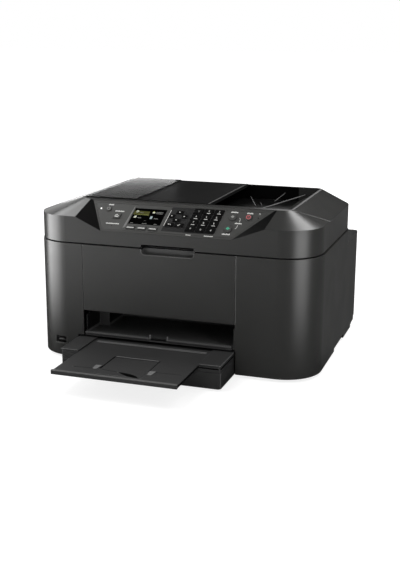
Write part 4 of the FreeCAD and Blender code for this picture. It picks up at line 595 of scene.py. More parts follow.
# Operators
class PRINTER_OT_covers(bpy.types.Operator):
    """Finishes the covers, the rear unit and the control panel's housing"""
    bl_idname = "printer.covers"
    bl_label = "Covers"

    # The bezel's right joint from end to end, in millimetres
    JOINT = ((186.0, -73.9, 256.9), (229.4, -18.4, 234.0))

    def execute(self, context):
        finish = context.scene.printer_finish
        finish_nodes(SIDE_NODES, plastic("charcoal_cover", finish.body, finish.body_roughness))
        self.add_front(finish)
        self.add_seams()
        shelf = ("Panel field",
                 {"left": -150.0 * MM, "right": 147.0 * MM, "low": 0.5 * MM, "high": 53.0 * MM,
                                 "depth": 0.3 * MM}, finish.panel)
        # Painted shade: the bezel's two facets, picked by the way they face, are painted near black
        left = ("Facing", {"across": 0.317, "along": -0.649, "up": 0.692}, finish.shade)
        right = ("Facing", {"across": -0.311, "along": -0.5, "up": 0.809}, finish.shade)
        finish_nodes(("control_panel_housing",),
                     plastic("charcoal_bezel", finish.body, finish.body_roughness, edge_light=1.2,
                             patches=[shelf, left, right]))
        back = ("Facing", {"along": 1.0, "limit": NEARLY}, finish.body)
        side = ("Facing", {"across": 1.0, "limit": NEARLY}, finish.body)
        finish_nodes(REAR_NODES, plastic("black_rear", finish.rear, finish.body_roughness, depth=0.05,
                                         patches=[back, side]))
        return {"FINISHED"}

    def add_front(self, finish):
        """The front cover, with painted light in its finger recess and a pale wire round the recess's edge as
        a painted highlight.
        """
        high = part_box("front_cover")[1].z
        floor = high - RECESS_DROP
        # Painted light: the finger recess is painted paler than the cover, where it lies in shade
        recess = room(-RECESS_HALF, RECESS_HALF, FRONT + 0.5 * MM, FRONT + 20.0 * MM, floor - MM, high,
                      grey(0.085, 0.084))
        finish_nodes(("front_cover",), plastic("charcoal_front", finish.body, finish.body_roughness,
                                               patches=[recess]))
        # Painted highlight: a pale wire along the recess's rounded lower edge
        side, corner = RECESS_HALF - RECESS_ROUND, floor + RECESS_ROUND
        path = [(-RECESS_HALF, high - 0.8 * MM), *arc((-side, corner), RECESS_ROUND, 180.0, 270.0, 6),
                *arc((side, corner), RECESS_ROUND, 270.0, 360.0, 6), (RECESS_HALF, high - 0.8 * MM)]
        wire_piece("recess_rim_highlight", "front_cover", [[(x, FRONT, z) for x, z in path]], 0.5 * MM,
                   plastic("rim_highlight_grey", grey(0.11, 0.108), 0.4))

    def add_seams(self):
        """Painted highlights as pale wires at the right cover's seam, the memory socket's rim and the bezel's
        right joint, and the socket's tongue in its own pale grey."""
        # Painted highlights: pale wires along the seam, the joint and the socket's rim; the tongue's pale grey
        # is its own colour
        light = plastic("edge_light", grey(0.085, 0.083), 0.4)
        low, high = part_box("front_cover")
        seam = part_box("right_side_cover")[0].x + 0.7 * MM
        wire_piece("right_seam_highlight", "printer",
                   [[(seam, FRONT + 0.2 * MM, low.z), (seam, FRONT + 0.2 * MM, high.z)]],
                   0.6 * MM, light)
        split = [[distance * MM for distance in end] for end in self.JOINT]
        wire_piece("bezel_joint_highlight", "printer", [split], 0.6 * MM,
                   plastic("joint_highlight_grey", grey(0.14, 0.137), 0.4))
        left, right, sill, lintel = (edge * MM for edge in SOCKET)
        rim = [[(left, FRONT, sill), (right, FRONT, sill), (right, FRONT, lintel)]]
        wire_piece("socket_rim_highlight", "printer", rim, 0.4 * MM, light)
        tongue = [bar((left + right) / 2 / MM, FRONT / MM + 9.0, 9.0, 14.0)]
        flat_piece("socket_tongue", "printer", tongue, [light], level_matrix((0.0, 0.0, 30.2 * MM)), 0.0,
                   1.6)


class PRINTER_OT_lid(bpy.types.Operator):
    """Finishes the lid, the feeder cover, the document tray and the backing pad"""
    bl_idname = "printer.lid"
    bl_label = "Lid"

    # The feeder's well: left and right ends, and its depth below the lid's top
    WELL_LEFT, WELL_RIGHT, WELL_DEPTH = -156.5 * MM, 143.0 * MM, 23.4 * MM

    # How far the wires run into the well's walls
    ROOTED = 0.8 * MM

    def execute(self, context):
        finish = context.scene.printer_finish
        front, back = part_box("document_tray")[0].y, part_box("document_tray")[1].y
        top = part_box("lid_shell")[1].z
        # Painted shade: the feeder's well is painted near black below the lid's top
        well = room(self.WELL_LEFT, self.WELL_RIGHT, front - MM, back + MM, top - 25.0 * MM, top - 0.3 * MM,
                    finish.shade)
        finish_nodes(("lid_shell",),
                     plastic("charcoal_lid", finish.body, finish.body_roughness, patches=[well]))
        finish_nodes(("feeder_cover",),
                     plastic("black_feeder", finish.lid, finish.lid_roughness, depth=0.01,
                                                 spread=0.03))
        finish_nodes(("document_tray",),
                     plastic("black_tray", finish.lid, TRAY_ROUGHNESS, specular=0.04, depth=0.01,
                                                 spread=0.03))
        self.add_wires(front, back, top)
        self.add_tray_edge()
        finish_nodes(("lid_pad",), plastic("white_pad", grey(0.8, 0.79), 0.7, grain=900.0, depth=0.2,
                                           edge_light=1.0))
        return {"FINISHED"}

    def add_wires(self, front, back, top):
        """The bent wires in the well that hold up fed sheets, from wall to wall or wall to floor."""
        steel = plastic("wire_grey", grey(0.11), 0.45)
        floor = top - self.WELL_DEPTH
        front -= self.ROOTED
        back += self.ROOTED
        wires = {
            "sheet_rail": (0.9, ((135.0, front, top - 1.2 * MM), (154.7, back, top - 12.7 * MM))),
            "sheet_wire_left": (0.8, ((57.5, back, floor + 3.1 * MM), (86.2, 73.4 * MM, floor))),
            "sheet_wire_middle": (0.5, ((85.2, 106.4 * MM, floor), (94.6, 81.9 * MM, floor))),
            "sheet_wire_right": (0.7, ((105.7, 125.3 * MM, floor), (121.0, back, floor + 13.4 * MM),
                                       (126.6, back, floor + 15.6 * MM), (129.6, back, floor + 9.2 * MM)))}
        for name, (radius, path) in wires.items():
            wire_piece(name, "lid", [[(x * MM, y, z) for x, y, z in path]], radius * MM, steel)

    def add_tray_edge(self):
        """The raised edge along the document tray's hinge side, pale as a painted highlight."""
        low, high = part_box("document_tray")
        middle = (low.y + high.y) / 2
        # Painted highlight: a pale strip along the tray's edge
        edge = [bar(high.x / MM - 2.3, 0.0, 1.8, (high.y - low.y) / MM - 3.2, radius=0.8)]
        flat_piece("tray_edge_highlight", "document_tray", edge, [plastic("edge_highlight_grey", grey(0.075, 0.074), 0.4)],
                   level_matrix((0.0, middle, high.z)), high=0.4)


class PRINTER_OT_trays(bpy.types.Operator):
    """Finishes the cassette and trays, and adds the output tray's lip, grip, tabs and seams"""
    bl_idname = "printer.trays"
    bl_label = "Trays"

    # Drawn on the tray and its flap, in millimetres from the middle and from the front face: the middles of
    # the two tabs, lines as a path and a width, and a painted shadow under the flap's front edge
    TABS = (-64.6, 20.6)
    SEAMS = ((((-99.3, -130.8), (-68.0, -128.1)), 0.8), (((24.4, -116.3), (64.0, -114.7)), 0.7))
    # The last flap line, along the pale rear bar, is a painted shadow; the others are the flap's dark edges
    # and a seam
    FLAP_LINES = ((((-54.0, -128.6), (-28.0, -133.0)), 0.8), (((-57.9, -69.0), (-57.9, -126.0)), 2.4),
                  (((14.2, -69.0), (14.2, -113.0)), 1.0), (((-56.0, -71.4), (12.0, -71.4)), 1.2))
    # Painted shadow: the dark crescent under the flap's front edge
    FLAP_EDGE_SHADOW = ((-26.9, -132.6), (-17.0, -133.0), (-6.0, -135.4), (4.0, -140.0), (12.0, -148.6),
                (2.0, -147.6), (-8.0, -145.0), (-18.0, -139.4))

    def execute(self, context):
        finish = context.scene.printer_finish
        low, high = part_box("output_tray")
        # Painted highlight: a paler band over the front of the slab's top, at the lip
        lip = room(low.x, high.x, low.y + 0.3 * MM, low.y + 6.0 * MM, high.z - 0.3 * MM, high.z + MM,
                   grey(0.075, 0.074))
        finish_nodes(TRAY_NODES, plastic("charcoal_tray", finish.tray, TRAY_ROUGHNESS, edge_light=3.0))
        # Painted shade: the slab's faces toward the right are painted near black
        painted_side_shade = ("Facing", {"across": 1.0, "limit": NEARLY}, finish.shade)
        finish_nodes(("output_tray",), plastic("charcoal_slab", finish.tray, TRAY_ROUGHNESS, edge_light=2.0,
                                               patches=[lip, painted_side_shade]))
        self.add_lip(low, high, finish)
        self.add_edges()
        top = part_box("output_support")[1].z
        grip = plastic("grey_grip", grey(0.12), 0.5)
        light = plastic("grey_tab", grey(0.12), 0.5)
        # Black for the seams, and for the painted shadows on the flap
        black = printed("seam_and_shadow_black", grey(0.001), specular=0.03)
        ridges = [bar(-114.0 + 1.6 * number, -10.0, 1.0, 7.6, radius=0.3) for number in range(114)]
        tabs = [[(u - 4.6, -115.0), (u + 4.6, -115.0), (u + 3.0, -132.0), (u - 3.0, -132.0)]
                for u in self.TABS]
        seams = [stroke(path, width) for path, width in self.SEAMS]
        flap_lines = [stroke(path, width) for path, width in self.FLAP_LINES]
        filler = [bar(-22.0, -150.75, 70.6, 1.9, radius=0.3)]
        charcoal = plastic("charcoal_filler", finish.tray, TRAY_ROUGHNESS)
        edge = [bar(-22.0, -69.4, 68.0, 1.8, radius=0.8)]
        under = level_matrix((0.0, FRONT, top))
        for name, body, shapes, material, base, height in (
                ("tray_grip_strip", "output_tray", ridges, grip, -BITE, 0.35),
                ("tray_tabs", "output_tray", tabs, light, -BITE, 0.9),
                ("tray_seam", "output_tray", seams, black, -BITE, 0.04),
                ("slot_filler", "output_tray", filler, charcoal, -4.2, -1.2),
                ("tray_dot", "output_tray", [disc(-99.3, -130.8, 0.9)], light, -BITE, 0.2),
                ("support_edge", "output_support", edge, light, -BITE, 0.5),
                ("support_shadow_and_lines", "output_support", [self.FLAP_EDGE_SHADOW, *flap_lines], black, -BITE, 0.04),
                ("support_dot", "output_support", [disc(-26.9, -133.3, 0.9)], light, -BITE, 0.2)):
            flat_piece(name, body, shapes, [material], under, base, height)
        return {"FINISHED"}

    def add_lip(self, low, high, finish):
        """The square lip along the output tray's front edge, with a painted highlight along its top."""
        middle, width = (low.x + high.x) / 2 / MM, (high.x - low.x) / MM
        place = level_matrix((0.0, low.y + 2.0 * MM, low.z))
        tall = (high.z - low.z) / MM
        lip = bmesh.new()
        add_prism(lip, bar(middle, -0.2, width + 0.8, 4.4, radius=0.8), -0.2, tall - 0.7)
        # Painted highlight: a thin paler band forms the lip's top
        add_prism(lip, bar(middle, -0.2, width + 0.8, 4.4, radius=0.8), tall - 0.7, tall + 0.2, 1)
        piece_from(lip, "tray_lip", "output_tray", [plastic("lip_dark", finish.tray, TRAY_ROUGHNESS),
                                                    plastic("lip_highlight_grey", grey(0.085, 0.084),
                                                            TRAY_ROUGHNESS)], place)

    def add_edges(self):
        """Painted highlights as pale beads along the cassette cover's front and side edges, and a painted
        shadow as a dark line under its rim.
        """
        low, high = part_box("cassette_cover")
        slab_low, slab_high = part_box("output_tray")
        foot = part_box("cassette_front")[0].z
        # Painted highlights: pale beads along the cover's edges
        lines = [[(slab_high.x + 1.5 * MM, low.y, high.z), (high.x, low.y, high.z),
                  (high.x, FRONT - MM, high.z)],
                 [(low.x, low.y, high.z), (slab_low.x - 1.5 * MM, low.y, high.z)],
                 [(high.x, low.y, low.z), (high.x, low.y, foot + 2.0 * MM)]]
        wire_piece("cassette_edge_highlights", "cassette_front", lines, 0.5 * MM,
                   plastic("edge_highlight_tray", grey(0.10), 0.4))
        # Painted shadow: a black line under the cover's rim
        under = high.z - 5.5 * MM
        shade = [[(high.x, low.y + 2.0 * MM, under), (high.x, FRONT - MM, under)],
                 [(slab_high.x + 1.5 * MM, low.y, under), (high.x - 2.0 * MM, low.y, under)]]
        wire_piece("cassette_rim_shadow", "cassette_front", shade, 0.6 * MM,
                   printed("rim_shadow_black", grey(0.001), specular=0.0))


class PRINTER_OT_engine(bpy.types.Operator):
    """Finishes the inner mouldings, rollers, rail, drive, tanks, boards and glass"""
    bl_idname = "printer.engine"
    bl_label = "Print engine"

    # The paper exit in millimetres: dark walls as left, right, front and back, the ends of the sill's notch,
    # and the middles and half width of the posts beside it
    WALLS = ((-142.0, -138.2, -112.0, -60.3), (-122.0, -121.0, -59.7, 4.0))
    NOTCH = (-28.6, -2.2)
    POSTS = (-29.9, -0.9)
    POST_HALF = 1.3

    def execute(self, context):
        finish = context.scene.printer_finish
        finish_nodes(INNER_NODES, plastic("black_inner", finish.inner, 0.55))
        low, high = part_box("output_frame")
        # Painted light: the exit's inside is painted paler than its frame, where it lies in shade
        inside = room(low.x, high.x, FRONT + 8.0 * MM, high.y, low.z, high.z, grey(0.085))
        walls = [room(*(edge * MM for edge in wall), 49.5 * MM, high.z + MM, grey(0.006))
                 for wall in self.WALLS]
        # Painted shade: the sill's notch between the posts is painted near black
        notch_painted_shade = room(*(end * MM for end in self.NOTCH), FRONT - MM, FRONT + 6.0 * MM, 45.0 * MM, 53.0 * MM,
                     finish.shade)
        posts = [room((x - self.POST_HALF) * MM, (x + self.POST_HALF) * MM, FRONT, FRONT + 5.0 * MM, 47.0 * MM,
                      54.0 * MM, grey(0.16)) for x in self.POSTS]
        finish_nodes(("output_frame",), plastic("black_exit", finish.exit, 0.4, edge_light=2.5,
                                                patches=[inside, *walls, notch_painted_shade, *posts]))
        finish_nodes(RUBBER_NODES, plastic("black_rubber", grey(0.012), 0.75, grain=1200.0, depth=0.3))
        finish_nodes(("carriage_rail",), metal("plated_rail", grey(0.42, 0.43), 0.32))
        finish_nodes(("carriage_drive",), plastic("drive_black", grey(0.015), 0.6))
        finish_nodes(("ink_tanks",), tank_finish())
        finish_nodes(("circuit_boards",), board_finish())
        finish_nodes(("platen_glass",), glass_finish())
        return {"FINISHED"}


class PRINTER_OT_panel(bpy.types.Operator):
    """Finishes the panel plate and adds its captions, divider, lamps and screen trim"""
    bl_idname = "printer.panel"
    bl_label = "Panel"

    # Captions: place on the slope, width and height in millimetres
    CAPTIONS = ((-103.0, 46.5, 7.6, 2.2), (-86.6, 36.1, 14.0, 2.0), (-93.2, 14.2, 22.0, 1.9),
                (98.3, 46.8, 11.4, 2.3), (90.8, 9.4, 11.4, 2.3), (107.0, 28.6, 10.8, 2.3),
                (122.2, 46.5, 9.6, 2.3), (32.5, 3.7, 7.6, 1.5), (64.9, 4.0, 13.8, 1.5))

    def execute(self, context):
        finish = context.scene.printer_finish
        field = ("Panel field",
                 {"left": -13.6 * MM, "right": 70.0 * MM, "low": 7.0 * MM, "high": 48.6 * MM},
                 finish.field)
        finish_nodes(("panel_plate",),
                     plastic("panel_grey", finish.panel, PANEL_ROUGHNESS, edge_light=1.0, patches=[field]))
        mark = printed("mark_grey", finish.mark)
        rows = [block for number, spot in enumerate(self.CAPTIONS) for block in caption(*spot, seed=number)]
        flat_piece("panel_captions", "printer", rows, [mark], panel_matrix(0.0, 0.0))
        lines = [stroke([(-9.3, 16.4), (-2.3, 43.4)], 0.7),
                 stroke([(107.2, 37.6), (108.6, 36.4), (108.4, 31.4)], 0.6),
                 stroke([(106.4, 25.6), (105.6, 21.4), (103.6, 19.2)], 0.6),
                 ring(137.0, 46.4, 1.5, 0.5, 90.0, 450.0, 3)]
        flat_piece("panel_lines", "printer", lines, [mark], panel_matrix(0.0, 0.0))
        self.add_trim()
        self.add_lamps()
        return {"FINISHED"}

    def add_trim(self):
        """The light strip along the screen's left edge."""
        left = [(-75.0, 7.8), (-70.4, 9.4), (-61.6, 45.6), (-62.9, 45.6)]
        trim = plastic("trim_grey", grey(0.13, 0.127), 0.35)
        flat_piece("screen_trim", "printer", [left], [trim], panel_matrix(0.0, 0.0), high=0.25)

    def add_lamps(self):
        """The power, memory and alarm lamps as low domes."""
        for name, u, w, radius, material in (
                ("power_lamp", -118.2, 39.0, 1.25, printed("lamp_white", grey(0.9, 0.88), glow=1.0)),
                ("memory_lamp", -94.0, 10.2, 0.8, printed("lamp_dark", grey(0.01))),
                ("alarm_lamp", 135.7, 39.6, 1.2, printed("lamp_off", grey(0.012)))):
            mesh = bmesh.new()
            bmesh.ops.create_uvsphere(mesh, u_segments=20, v_segments=10, radius=radius)
            bmesh.ops.scale(mesh, vec=(1.0, 1.0, 0.35), verts=mesh.verts[:])
            piece = piece_from(mesh, name, "printer", [material], panel_matrix(u, w))
            for polygon in piece.data.polygons:
                polygon.use_smooth = True


class PRINTER_OT_screen(bpy.types.Operator):
    """Finishes the screen and draws a plain menu on it"""
    bl_idname = "printer.screen"
    bl_label = "Screen"

    # The menu's finishes: name, tone and glow
    LOOKS = (("screen_olive", (0.03, 0.03, 0.003), 0.6), ("screen_white", (0.40, 0.41, 0.34), 0.5),
             ("screen_green", (0.26, 0.28, 0.08), 0.6), ("screen_grey", grey(0.11, 0.105), 0.6),
             ("screen_blue", (0.22, 0.27, 0.28), 0.5))
    OLIVE, PALE, GREEN, GREY, BLUE = range(5)

    # Fields of the menu: finish, place on the slope, width, height and corner radius in millimetres
    FIELDS = ((OLIVE, -49.6, 35.6, 25.4, 6.4, 0.4), (GREEN, -49.6, 32.6, 25.0, 0.5, 0.2),
              (PALE, -56.8, 37.4, 4.6, 4.2, 1.6), (PALE, -29.8, 37.3, 4.0, 2.2, 0.8),
              (GREEN, -29.8, 38.8, 2.2, 1.6, 0.6), (PALE, -58.2, 29.4, 3.6, 1.6, 0.7),
              (PALE, -59.2, 27.6, 4.2, 1.6, 0.7), (BLUE, -32.4, 28.6, 3.4, 4.4, 0.3))

    # Captions of the menu: place on the slope, width and height
    CAPTIONS = ((-49.6, 36.2, 6.0, 1.5), (-20.0, 38.2, 11.6, 1.3), (-20.4, 36.0, 10.6, 1.3),
                (-51.8, 27.2, 5.6, 1.5), (-24.4, 27.2, 6.6, 1.5), (-62.4, 17.7, 5.0, 1.1),
                (-41.4, 17.7, 7.2, 1.1), (-23.6, 17.7, 5.0, 1.1))

    def execute(self, context):
        finish_nodes(("display",), plastic("screen_black", grey(0.001), 0.2, specular=0.03, depth=0.0,
                                           edge_light=1.0))
        looks = [printed(name, tone, glow=glow) for name, tone, glow in self.LOOKS]
        shapes = [(look, bar(u, w, width, height, PANEL_LEAN, radius))
                  for look, u, w, width, height, radius in self.FIELDS]
        for row, place in enumerate(self.CAPTIONS):
            shapes += [(self.GREY, block) for block in caption(*place, row)]
        shapes += [(self.GREY, bar(-42.2, 23.0, 0.8, 0.8)), (self.GREY, bar(-40.0, 23.0, 0.5, 0.5))]
        sink = max((vertex.co - PANEL_FOOT).dot(PANEL_OUT) for vertex in NODES["display"].data.vertices)
        flat_piece("screen_menu", "printer", shapes, looks, panel_matrix(0.0, 0.0, sink / MM))
        return {"FINISHED"}


class PRINTER_OT_keys(bpy.types.Operator):
    """Finishes the keys and prints a sign on each"""
    bl_idname = "printer.keys"
    bl_label = "Keys"

    def execute(self, context):
        finish = context.scene.printer_finish
        gloss = plastic("key_black", grey(0.003), 0.4, specular=0.15, depth=0.0, edge_light=1.0)
        finish_nodes(BLACK_KEYS, gloss)
        finish_nodes(FUNCTION_KEYS, plastic("key_grey", finish.panel, PANEL_ROUGHNESS, edge_light=1.0))
        finish_nodes(PLATE_KEYS, plastic("key_plate", finish.panel, PANEL_ROUGHNESS, edge_light=1.0))
        self.mark = printed("sign_white", grey(0.62, 0.60))
        self.dim = printed("sign_grey", grey(0.22, 0.21))
        self.add_numbers()
        self.add_signs()
        return {"FINISHED"}

    def add_numbers(self):
        """A digit on each number key, with a small caption where letters would be."""
        for number, (name, sign) in enumerate(NUMBER_KEYS.items()):
            u, w, level = key_face(name)
            lettered = sign.isdigit() and sign not in "01"
            mesh = bmesh.new()
            drawing = glyph_outline(sign, 5.4 if sign == "*" else 4.0, (0.6, 1.2 if lettered else 0.0))
            mesh.from_mesh(drawing)
            bpy.data.meshes.remove(drawing)
            if lettered:
                for block in caption(0.4, -2.5, 5.6, 1.2, number):
                    add_prism(mesh, block, -BITE, INK)
            piece_from(mesh, "sign_" + name, name, [self.mark], panel_matrix(u, w, level))

    def add_signs(self):
        """Plain signs on the other keys."""
        red = printed("sign_red", (0.42, 0.10, 0.11))
        green = printed("sign_green", (0.06, 0.30, 0.19))
        arrow = [(-1.1, -0.8), (1.1, -0.8), (0.0, 1.1)]
        house = [(-2.6, -1.8), (2.6, -1.8), (2.6, 0.4), (0.0, 2.4), (-2.6, 0.4)]
        signs = {
            "arrow_up": ([arrow], self.mark),
            "arrow_down": ([[(x, -y) for x, y in arrow]], self.mark),
            "arrow_left": ([[(-y, x) for x, y in arrow]], self.mark),
            "arrow_right": ([[(y, x) for x, y in arrow]], self.mark),
            "back_button": ([stroke([(2.2, -1.0), (2.6, 0.6), (-0.6, 0.6)], 0.6),
                             [(-0.6, -0.5), (-0.6, 1.7), (-2.2, 0.6)]], self.mark),
            "ok_button": ([stroke([(-2.2, 0.2), (-0.6, -1.2), (2.4, 1.4)], 0.8)], self.mark),
            "power_button": ([ring(0.0, 0.0, 2.4, 0.7, 120.0, 420.0), bar(0.0, 2.0, 0.7, 2.2)], self.dim),
            "home_button": ([stroke(house + house[:1], 0.8), bar(0.0, -1.0, 1.6, 1.8)], self.mark),
            "black_start_button": ([[(-3.0, 0.0), (0.0, -2.4), (3.0, 0.0), (0.0, 2.4)]], self.dim),
            "colour_start_button": ([[(-3.2, 0.0), (0.0, -2.6), (3.2, 0.0), (0.0, 2.6)]], green),
            "stop_button": ([ring(0.0, 0.0, 3.0, 1.1), ring(0.0, 0.0, 1.2, 0.5, 90.0, 450.0, 3)], red),
        }
        for number, name in enumerate(FUNCTION_KEYS):
            signs[name] = (caption(0.0, 0.0, 11.6, 1.7, number + 2), self.mark)
        for name, (shapes, material) in signs.items():
            u, w, level = key_face(name)
            flat_piece("sign_" + name, name, shapes, [material], panel_matrix(u, w, level))


class PRINTER_OT_studio(bpy.types.Operator):
    """Sets the camera, the floor, the white surroundings and the soft lights"""
    bl_idname = "printer.studio"
    bl_label = "Studio"

    # Bright strips on the floor that only gloss sees: corner of the printer they start from, first and last
    # bearing from straight ahead, and level
    STRIPS = (((-0.198, -0.108), -96.0, -44.0, 14.0), ((0.205, -0.104), 40.0, 80.0, 9.5))

    # Bright cards that only gloss sees: middle, place they face, width and height, and level
    CARDS = {"shoulder_card": ((-0.57, 0.39, 0.445), (-0.2, -0.04, 0.235), (0.36, 0.34), 1.2),
             "shoulder_top_card": ((-0.332, -0.066, 0.505), (-0.2, -0.09, 0.235), (0.18, 0.18), 10.0),
             "corner_card": ((0.456, 0.256, 0.915), (0.2, -0.08, 0.235), (0.42, 0.42), 12.5),
             "feeder_card": ((-0.25, 0.262, 0.256), (-0.15, 0.02, 0.252), (0.24, 0.05), 4.2),
             "rim_card": ((-0.06, 1.05, 0.55), (0.18, 0.05, 0.26), (0.2, 0.3), 1.3)}

    def execute(self, context):
        stage = context.scene.printer_stage
        self.add_camera(context, stage)
        self.add_floor()
        self.set_world(context, stage.fill)
        for name, power, place, size in (
                ("left_softbox", stage.left_power, (-0.95, -0.25, 0.5), (0.35, 0.9)),
                ("right_softbox", stage.right_power, (0.75, -0.62, 0.5), (0.2, 0.9)),
                ("top_softbox", stage.top_power, (-0.6, -0.5, 1.9), (1.0, 1.0)),
                ("rear_softbox", stage.rear_power, (0.5, 1.7, 0.9), (1.2, 1.0)),
                ("crown_softbox", stage.crown_power, (0.61, 0.45, 1.32), (0.5, 0.5))):
            self.add_softbox(name, power, place, size)
        self.add_tent()
        context.scene.view_settings.view_transform = "Standard"
        return {"FINISHED"}

    def add_camera(self, context, stage):
        """The photograph's camera."""
        data = bpy.data.cameras.new("camera")
        data.lens = stage.lens
        data.sensor_fit = "AUTO"
        data.sensor_width = 36.0
        camera = new_object("camera", data)
        turn = Matrix.Rotation(stage.azimuth, 3, "Z") @ Matrix.Rotation(math.pi / 2 - stage.elevation, 3,
                                                                        "X")
        turn = turn @ Matrix.Rotation(stage.roll, 3, "Z")
        camera.matrix_world = Matrix.Translation(stage.camera_place) @ turn.to_4x4()
        context.scene.camera = camera

    def seen_directly(self, tree):
        """1 where a surface is seen by the camera, in a mirror or through glass."""
        path = tree.nodes.new("ShaderNodeLightPath").outputs
        seen = math_node(tree, "MAXIMUM", path["Is Camera Ray"], path["Is Glossy Ray"])
        return math_node(tree, "MAXIMUM", seen, path["Is Transmission Ray"])

    def add_floor(self):
        """A pale floor that keeps a soft shadow and looks white."""
        mesh = bmesh.new()
        bmesh.ops.create_grid(mesh, x_segments=8, y_segments=8, size=20.0)
        data = bpy.data.meshes.new("floor")
        mesh.to_mesh(data)
        mesh.free()
        floor = new_object("floor", data)
        material = bpy.data.materials.new("floor_white")
        material.use_nodes = True
        tree = material.node_tree
        tree.nodes.clear()
        seen = self.seen_directly(tree)
        tone = mix_colours(tree, seen, grey(0.86), grey(0.30))
        matt = add_node(tree, "ShaderNodeBsdfDiffuse", {"Color": tone})
        spot = object_place(tree)
        away = add_node(tree, "ShaderNodeVectorMath", {0: spot}, operation="LENGTH")
        clear = add_node(tree, "ShaderNodeMapRange", {"Value": away.outputs["Value"], "From Min": 0.35,
                                                      "From Max": 0.9, "To Min": 0.82, "To Max": 1.0})
        strength = math_node(tree, "MULTIPLY", clear.outputs["Result"], seen)
        glow = add_node(tree, "ShaderNodeEmission", {"Color": WHITE, "Strength": strength})
        blend = add_node(tree, "ShaderNodeAddShader", {0: matt.outputs[0], 1: glow.outputs[0]})
        add_node(tree, "ShaderNodeOutputMaterial", {"Surface": blend.outputs[0]})
        data.materials.append(material)

    def set_world(self, context, fill):
        """White behind the object, a soft grey fill on it."""
        world = bpy.data.worlds.new("studio")
        world.use_nodes = True
        tree = world.node_tree
        tree.nodes.clear()
        strength = add_node(tree, "ShaderNodeMapRange",
                            {"Value": self.seen_directly(tree), "To Min": fill, "To Max": 1.0})
        sky = add_node(tree, "ShaderNodeBackground",
                       {"Color": WHITE, "Strength": strength.outputs["Result"]})
        add_node(tree, "ShaderNodeOutputWorld", {"Surface": sky.outputs[0]})
        context.scene.world = world

    def add_softbox(self, name, power, place, size):
        """A soft rectangular lamp aimed at the printer."""
        data = bpy.data.lights.new(name, "AREA")
        data.shape = "RECTANGLE"
        data.size, data.size_y = size
        data.energy = power
        lamp = new_object(name, data)
        lamp.location = place
        aim = Vector((0.0, 0.0, 0.14)) - Vector(place)
        lamp.rotation_euler = aim.to_track_quat("-Z", "Y").to_euler()
        lamp.visible_camera = False
        lamp.visible_glossy = False

    def add_tent(self):
        """A dark tent round the set, the floor as gloss sees it, and the bright cards."""
        tent = bmesh.new()
        bmesh.ops.create_uvsphere(tent, u_segments=32, v_segments=16, radius=3.6)
        below = [vertex for vertex in tent.verts if vertex.co.z < -0.01]
        bmesh.ops.delete(tent, geom=below, context="VERTS")
        self.add_gloss_screen("dark_tent", tent, lambda tree: 0.02)
        table = bmesh.new()
        bmesh.ops.create_grid(table, x_segments=1, y_segments=1, size=3.4,
                              matrix=Matrix.Translation((0.0, 0.0, 2.0 * MM)))
        self.add_gloss_screen("gloss_table", table, self.table_level)
        for name, (middle, target, size, level) in self.CARDS.items():
            aim = (Vector(target) - Vector(middle)).to_track_quat("Z", "Y").to_matrix().to_4x4()
            card = bmesh.new()
            bmesh.ops.create_grid(card, x_segments=1, y_segments=1, size=0.5)
            bmesh.ops.scale(card, vec=(*size, 1.0), verts=card.verts[:])
            bmesh.ops.transform(card, matrix=Matrix.Translation(middle) @ aim, verts=card.verts[:])
            self.add_gloss_screen(name, card, lambda tree, level=level: level)

    def add_gloss_screen(self, name, mesh, level):
        """A glowing screen that only glossy rays see."""
        data = bpy.data.meshes.new(name)
        mesh.to_mesh(data)
        mesh.free()
        screen = new_object(name, data)
        material = bpy.data.materials.new(name)
        material.use_nodes = True
        tree = material.node_tree
        tree.nodes.clear()
        glow = add_node(tree, "ShaderNodeEmission", {"Color": WHITE, "Strength": level(tree)})
        add_node(tree, "ShaderNodeOutputMaterial", {"Surface": glow.outputs[0]})
        data.materials.append(material)
        screen.visible_camera = False
        screen.visible_diffuse = False
        screen.visible_transmission = False
        screen.visible_shadow = False

    def table_level(self, tree):
        """Light from the floor: dim near and behind the printer, brighter ahead, with two bright strips."""
        parts = add_node(tree, "ShaderNodeSeparateXYZ", {0: object_place(tree)})
        front = math_node(tree, "MULTIPLY", self.smooth(tree, parts.outputs["X"], -0.5, 0.0, 2.4, 0.45),
                          self.smooth(tree, parts.outputs["Y"], -0.85, -0.2, 1.0, 0.0))
        back = math_node(tree, "MULTIPLY", self.smooth(tree, parts.outputs["X"], 0.0, 0.25, 0.0, 0.13),
                         self.smooth(tree, parts.outputs["Y"], -0.1, 0.1, 0.0, 1.0))
        far = self.smooth(tree, parts.outputs["Y"], 0.9, 1.6, 0.0, 0.07)
        total = math_node(tree, "ADD", math_node(tree, "ADD", front, back), far)
        for corner, first, last, level in self.STRIPS:
            across = math_node(tree, "SUBTRACT", parts.outputs["X"], corner[0])
            ahead = math_node(tree, "SUBTRACT", corner[1], parts.outputs["Y"])
            bearing = math_node(tree, "ARCTAN2", across, ahead)
            soft = math.radians(14.0)
            rise = self.smooth(tree, bearing, math.radians(first) - soft / 2,
                               math.radians(first) + soft / 2, 0.0, 1.0)
            fall = self.smooth(tree, bearing, math.radians(last) - soft, math.radians(last) + soft, 1.0,
                               0.0)
            away = math_node(tree, "SQRT", math_node(tree, "ADD", math_node(tree, "POWER", across, 2.0),
                                                     math_node(tree, "POWER", ahead, 2.0)))
            reach = self.smooth(tree, away, 0.08, 0.9, 0.0, level)
            strip = math_node(tree, "MULTIPLY", math_node(tree, "MULTIPLY", rise, fall), reach)
            total = math_node(tree, "ADD", total, strip)
        return total

    def smooth(self, tree, source, first, last, start, end):
        """A smooth change of level between two limits."""
        node = add_node(tree, "ShaderNodeMapRange", {"Value": source, "From Min": first, "From Max": last,
                                                     "To Min": start, "To Max": end},
                        interpolation_type="SMOOTHSTEP")
        return node.outputs["Result"]


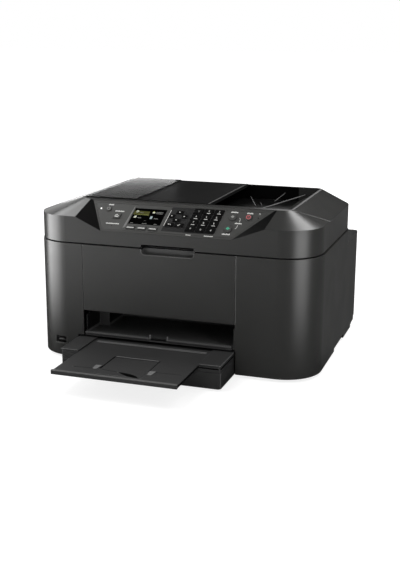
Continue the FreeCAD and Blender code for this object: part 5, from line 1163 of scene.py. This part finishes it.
class PRINTER_PT_dressing(bpy.types.Panel):
    """Shows a button for each dressing step"""
    bl_label = "Printer"
    bl_idname = "PRINTER_PT_dressing"
    bl_space_type = "VIEW_3D"
    bl_region_type = "UI"
    bl_category = "Printer"

    def draw(self, context):
        for operator in OPERATORS:
            self.layout.operator(operator.bl_idname)


OPERATORS = (PRINTER_OT_covers, PRINTER_OT_lid, PRINTER_OT_trays, PRINTER_OT_engine, PRINTER_OT_panel,
             PRINTER_OT_screen, PRINTER_OT_keys, PRINTER_OT_studio)
CLASSES = (PrinterFinish, PrinterStage, *OPERATORS, PRINTER_PT_dressing)


def register():
    """Registers the classes and hangs the settings on the scene."""
    for item in CLASSES:
        bpy.utils.register_class(item)
    bpy.types.Scene.printer_finish = PointerProperty(type=PrinterFinish)
    bpy.types.Scene.printer_stage = PointerProperty(type=PrinterStage)


def unregister():
    """Takes the settings and classes away again."""
    del bpy.types.Scene.printer_stage
    del bpy.types.Scene.printer_finish
    for item in reversed(CLASSES):
        bpy.utils.unregister_class(item)


def main():
    """Dresses the frame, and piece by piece."""
    register()
    make_shared_groups()
    bpy.ops.printer.covers()
    bpy.ops.printer.lid()
    bpy.ops.printer.trays()
    bpy.ops.printer.engine()
    bpy.ops.printer.panel()
    bpy.ops.printer.screen()
    bpy.ops.printer.keys()
    bpy.ops.printer.studio()


if __name__ == "__main__":
    main()
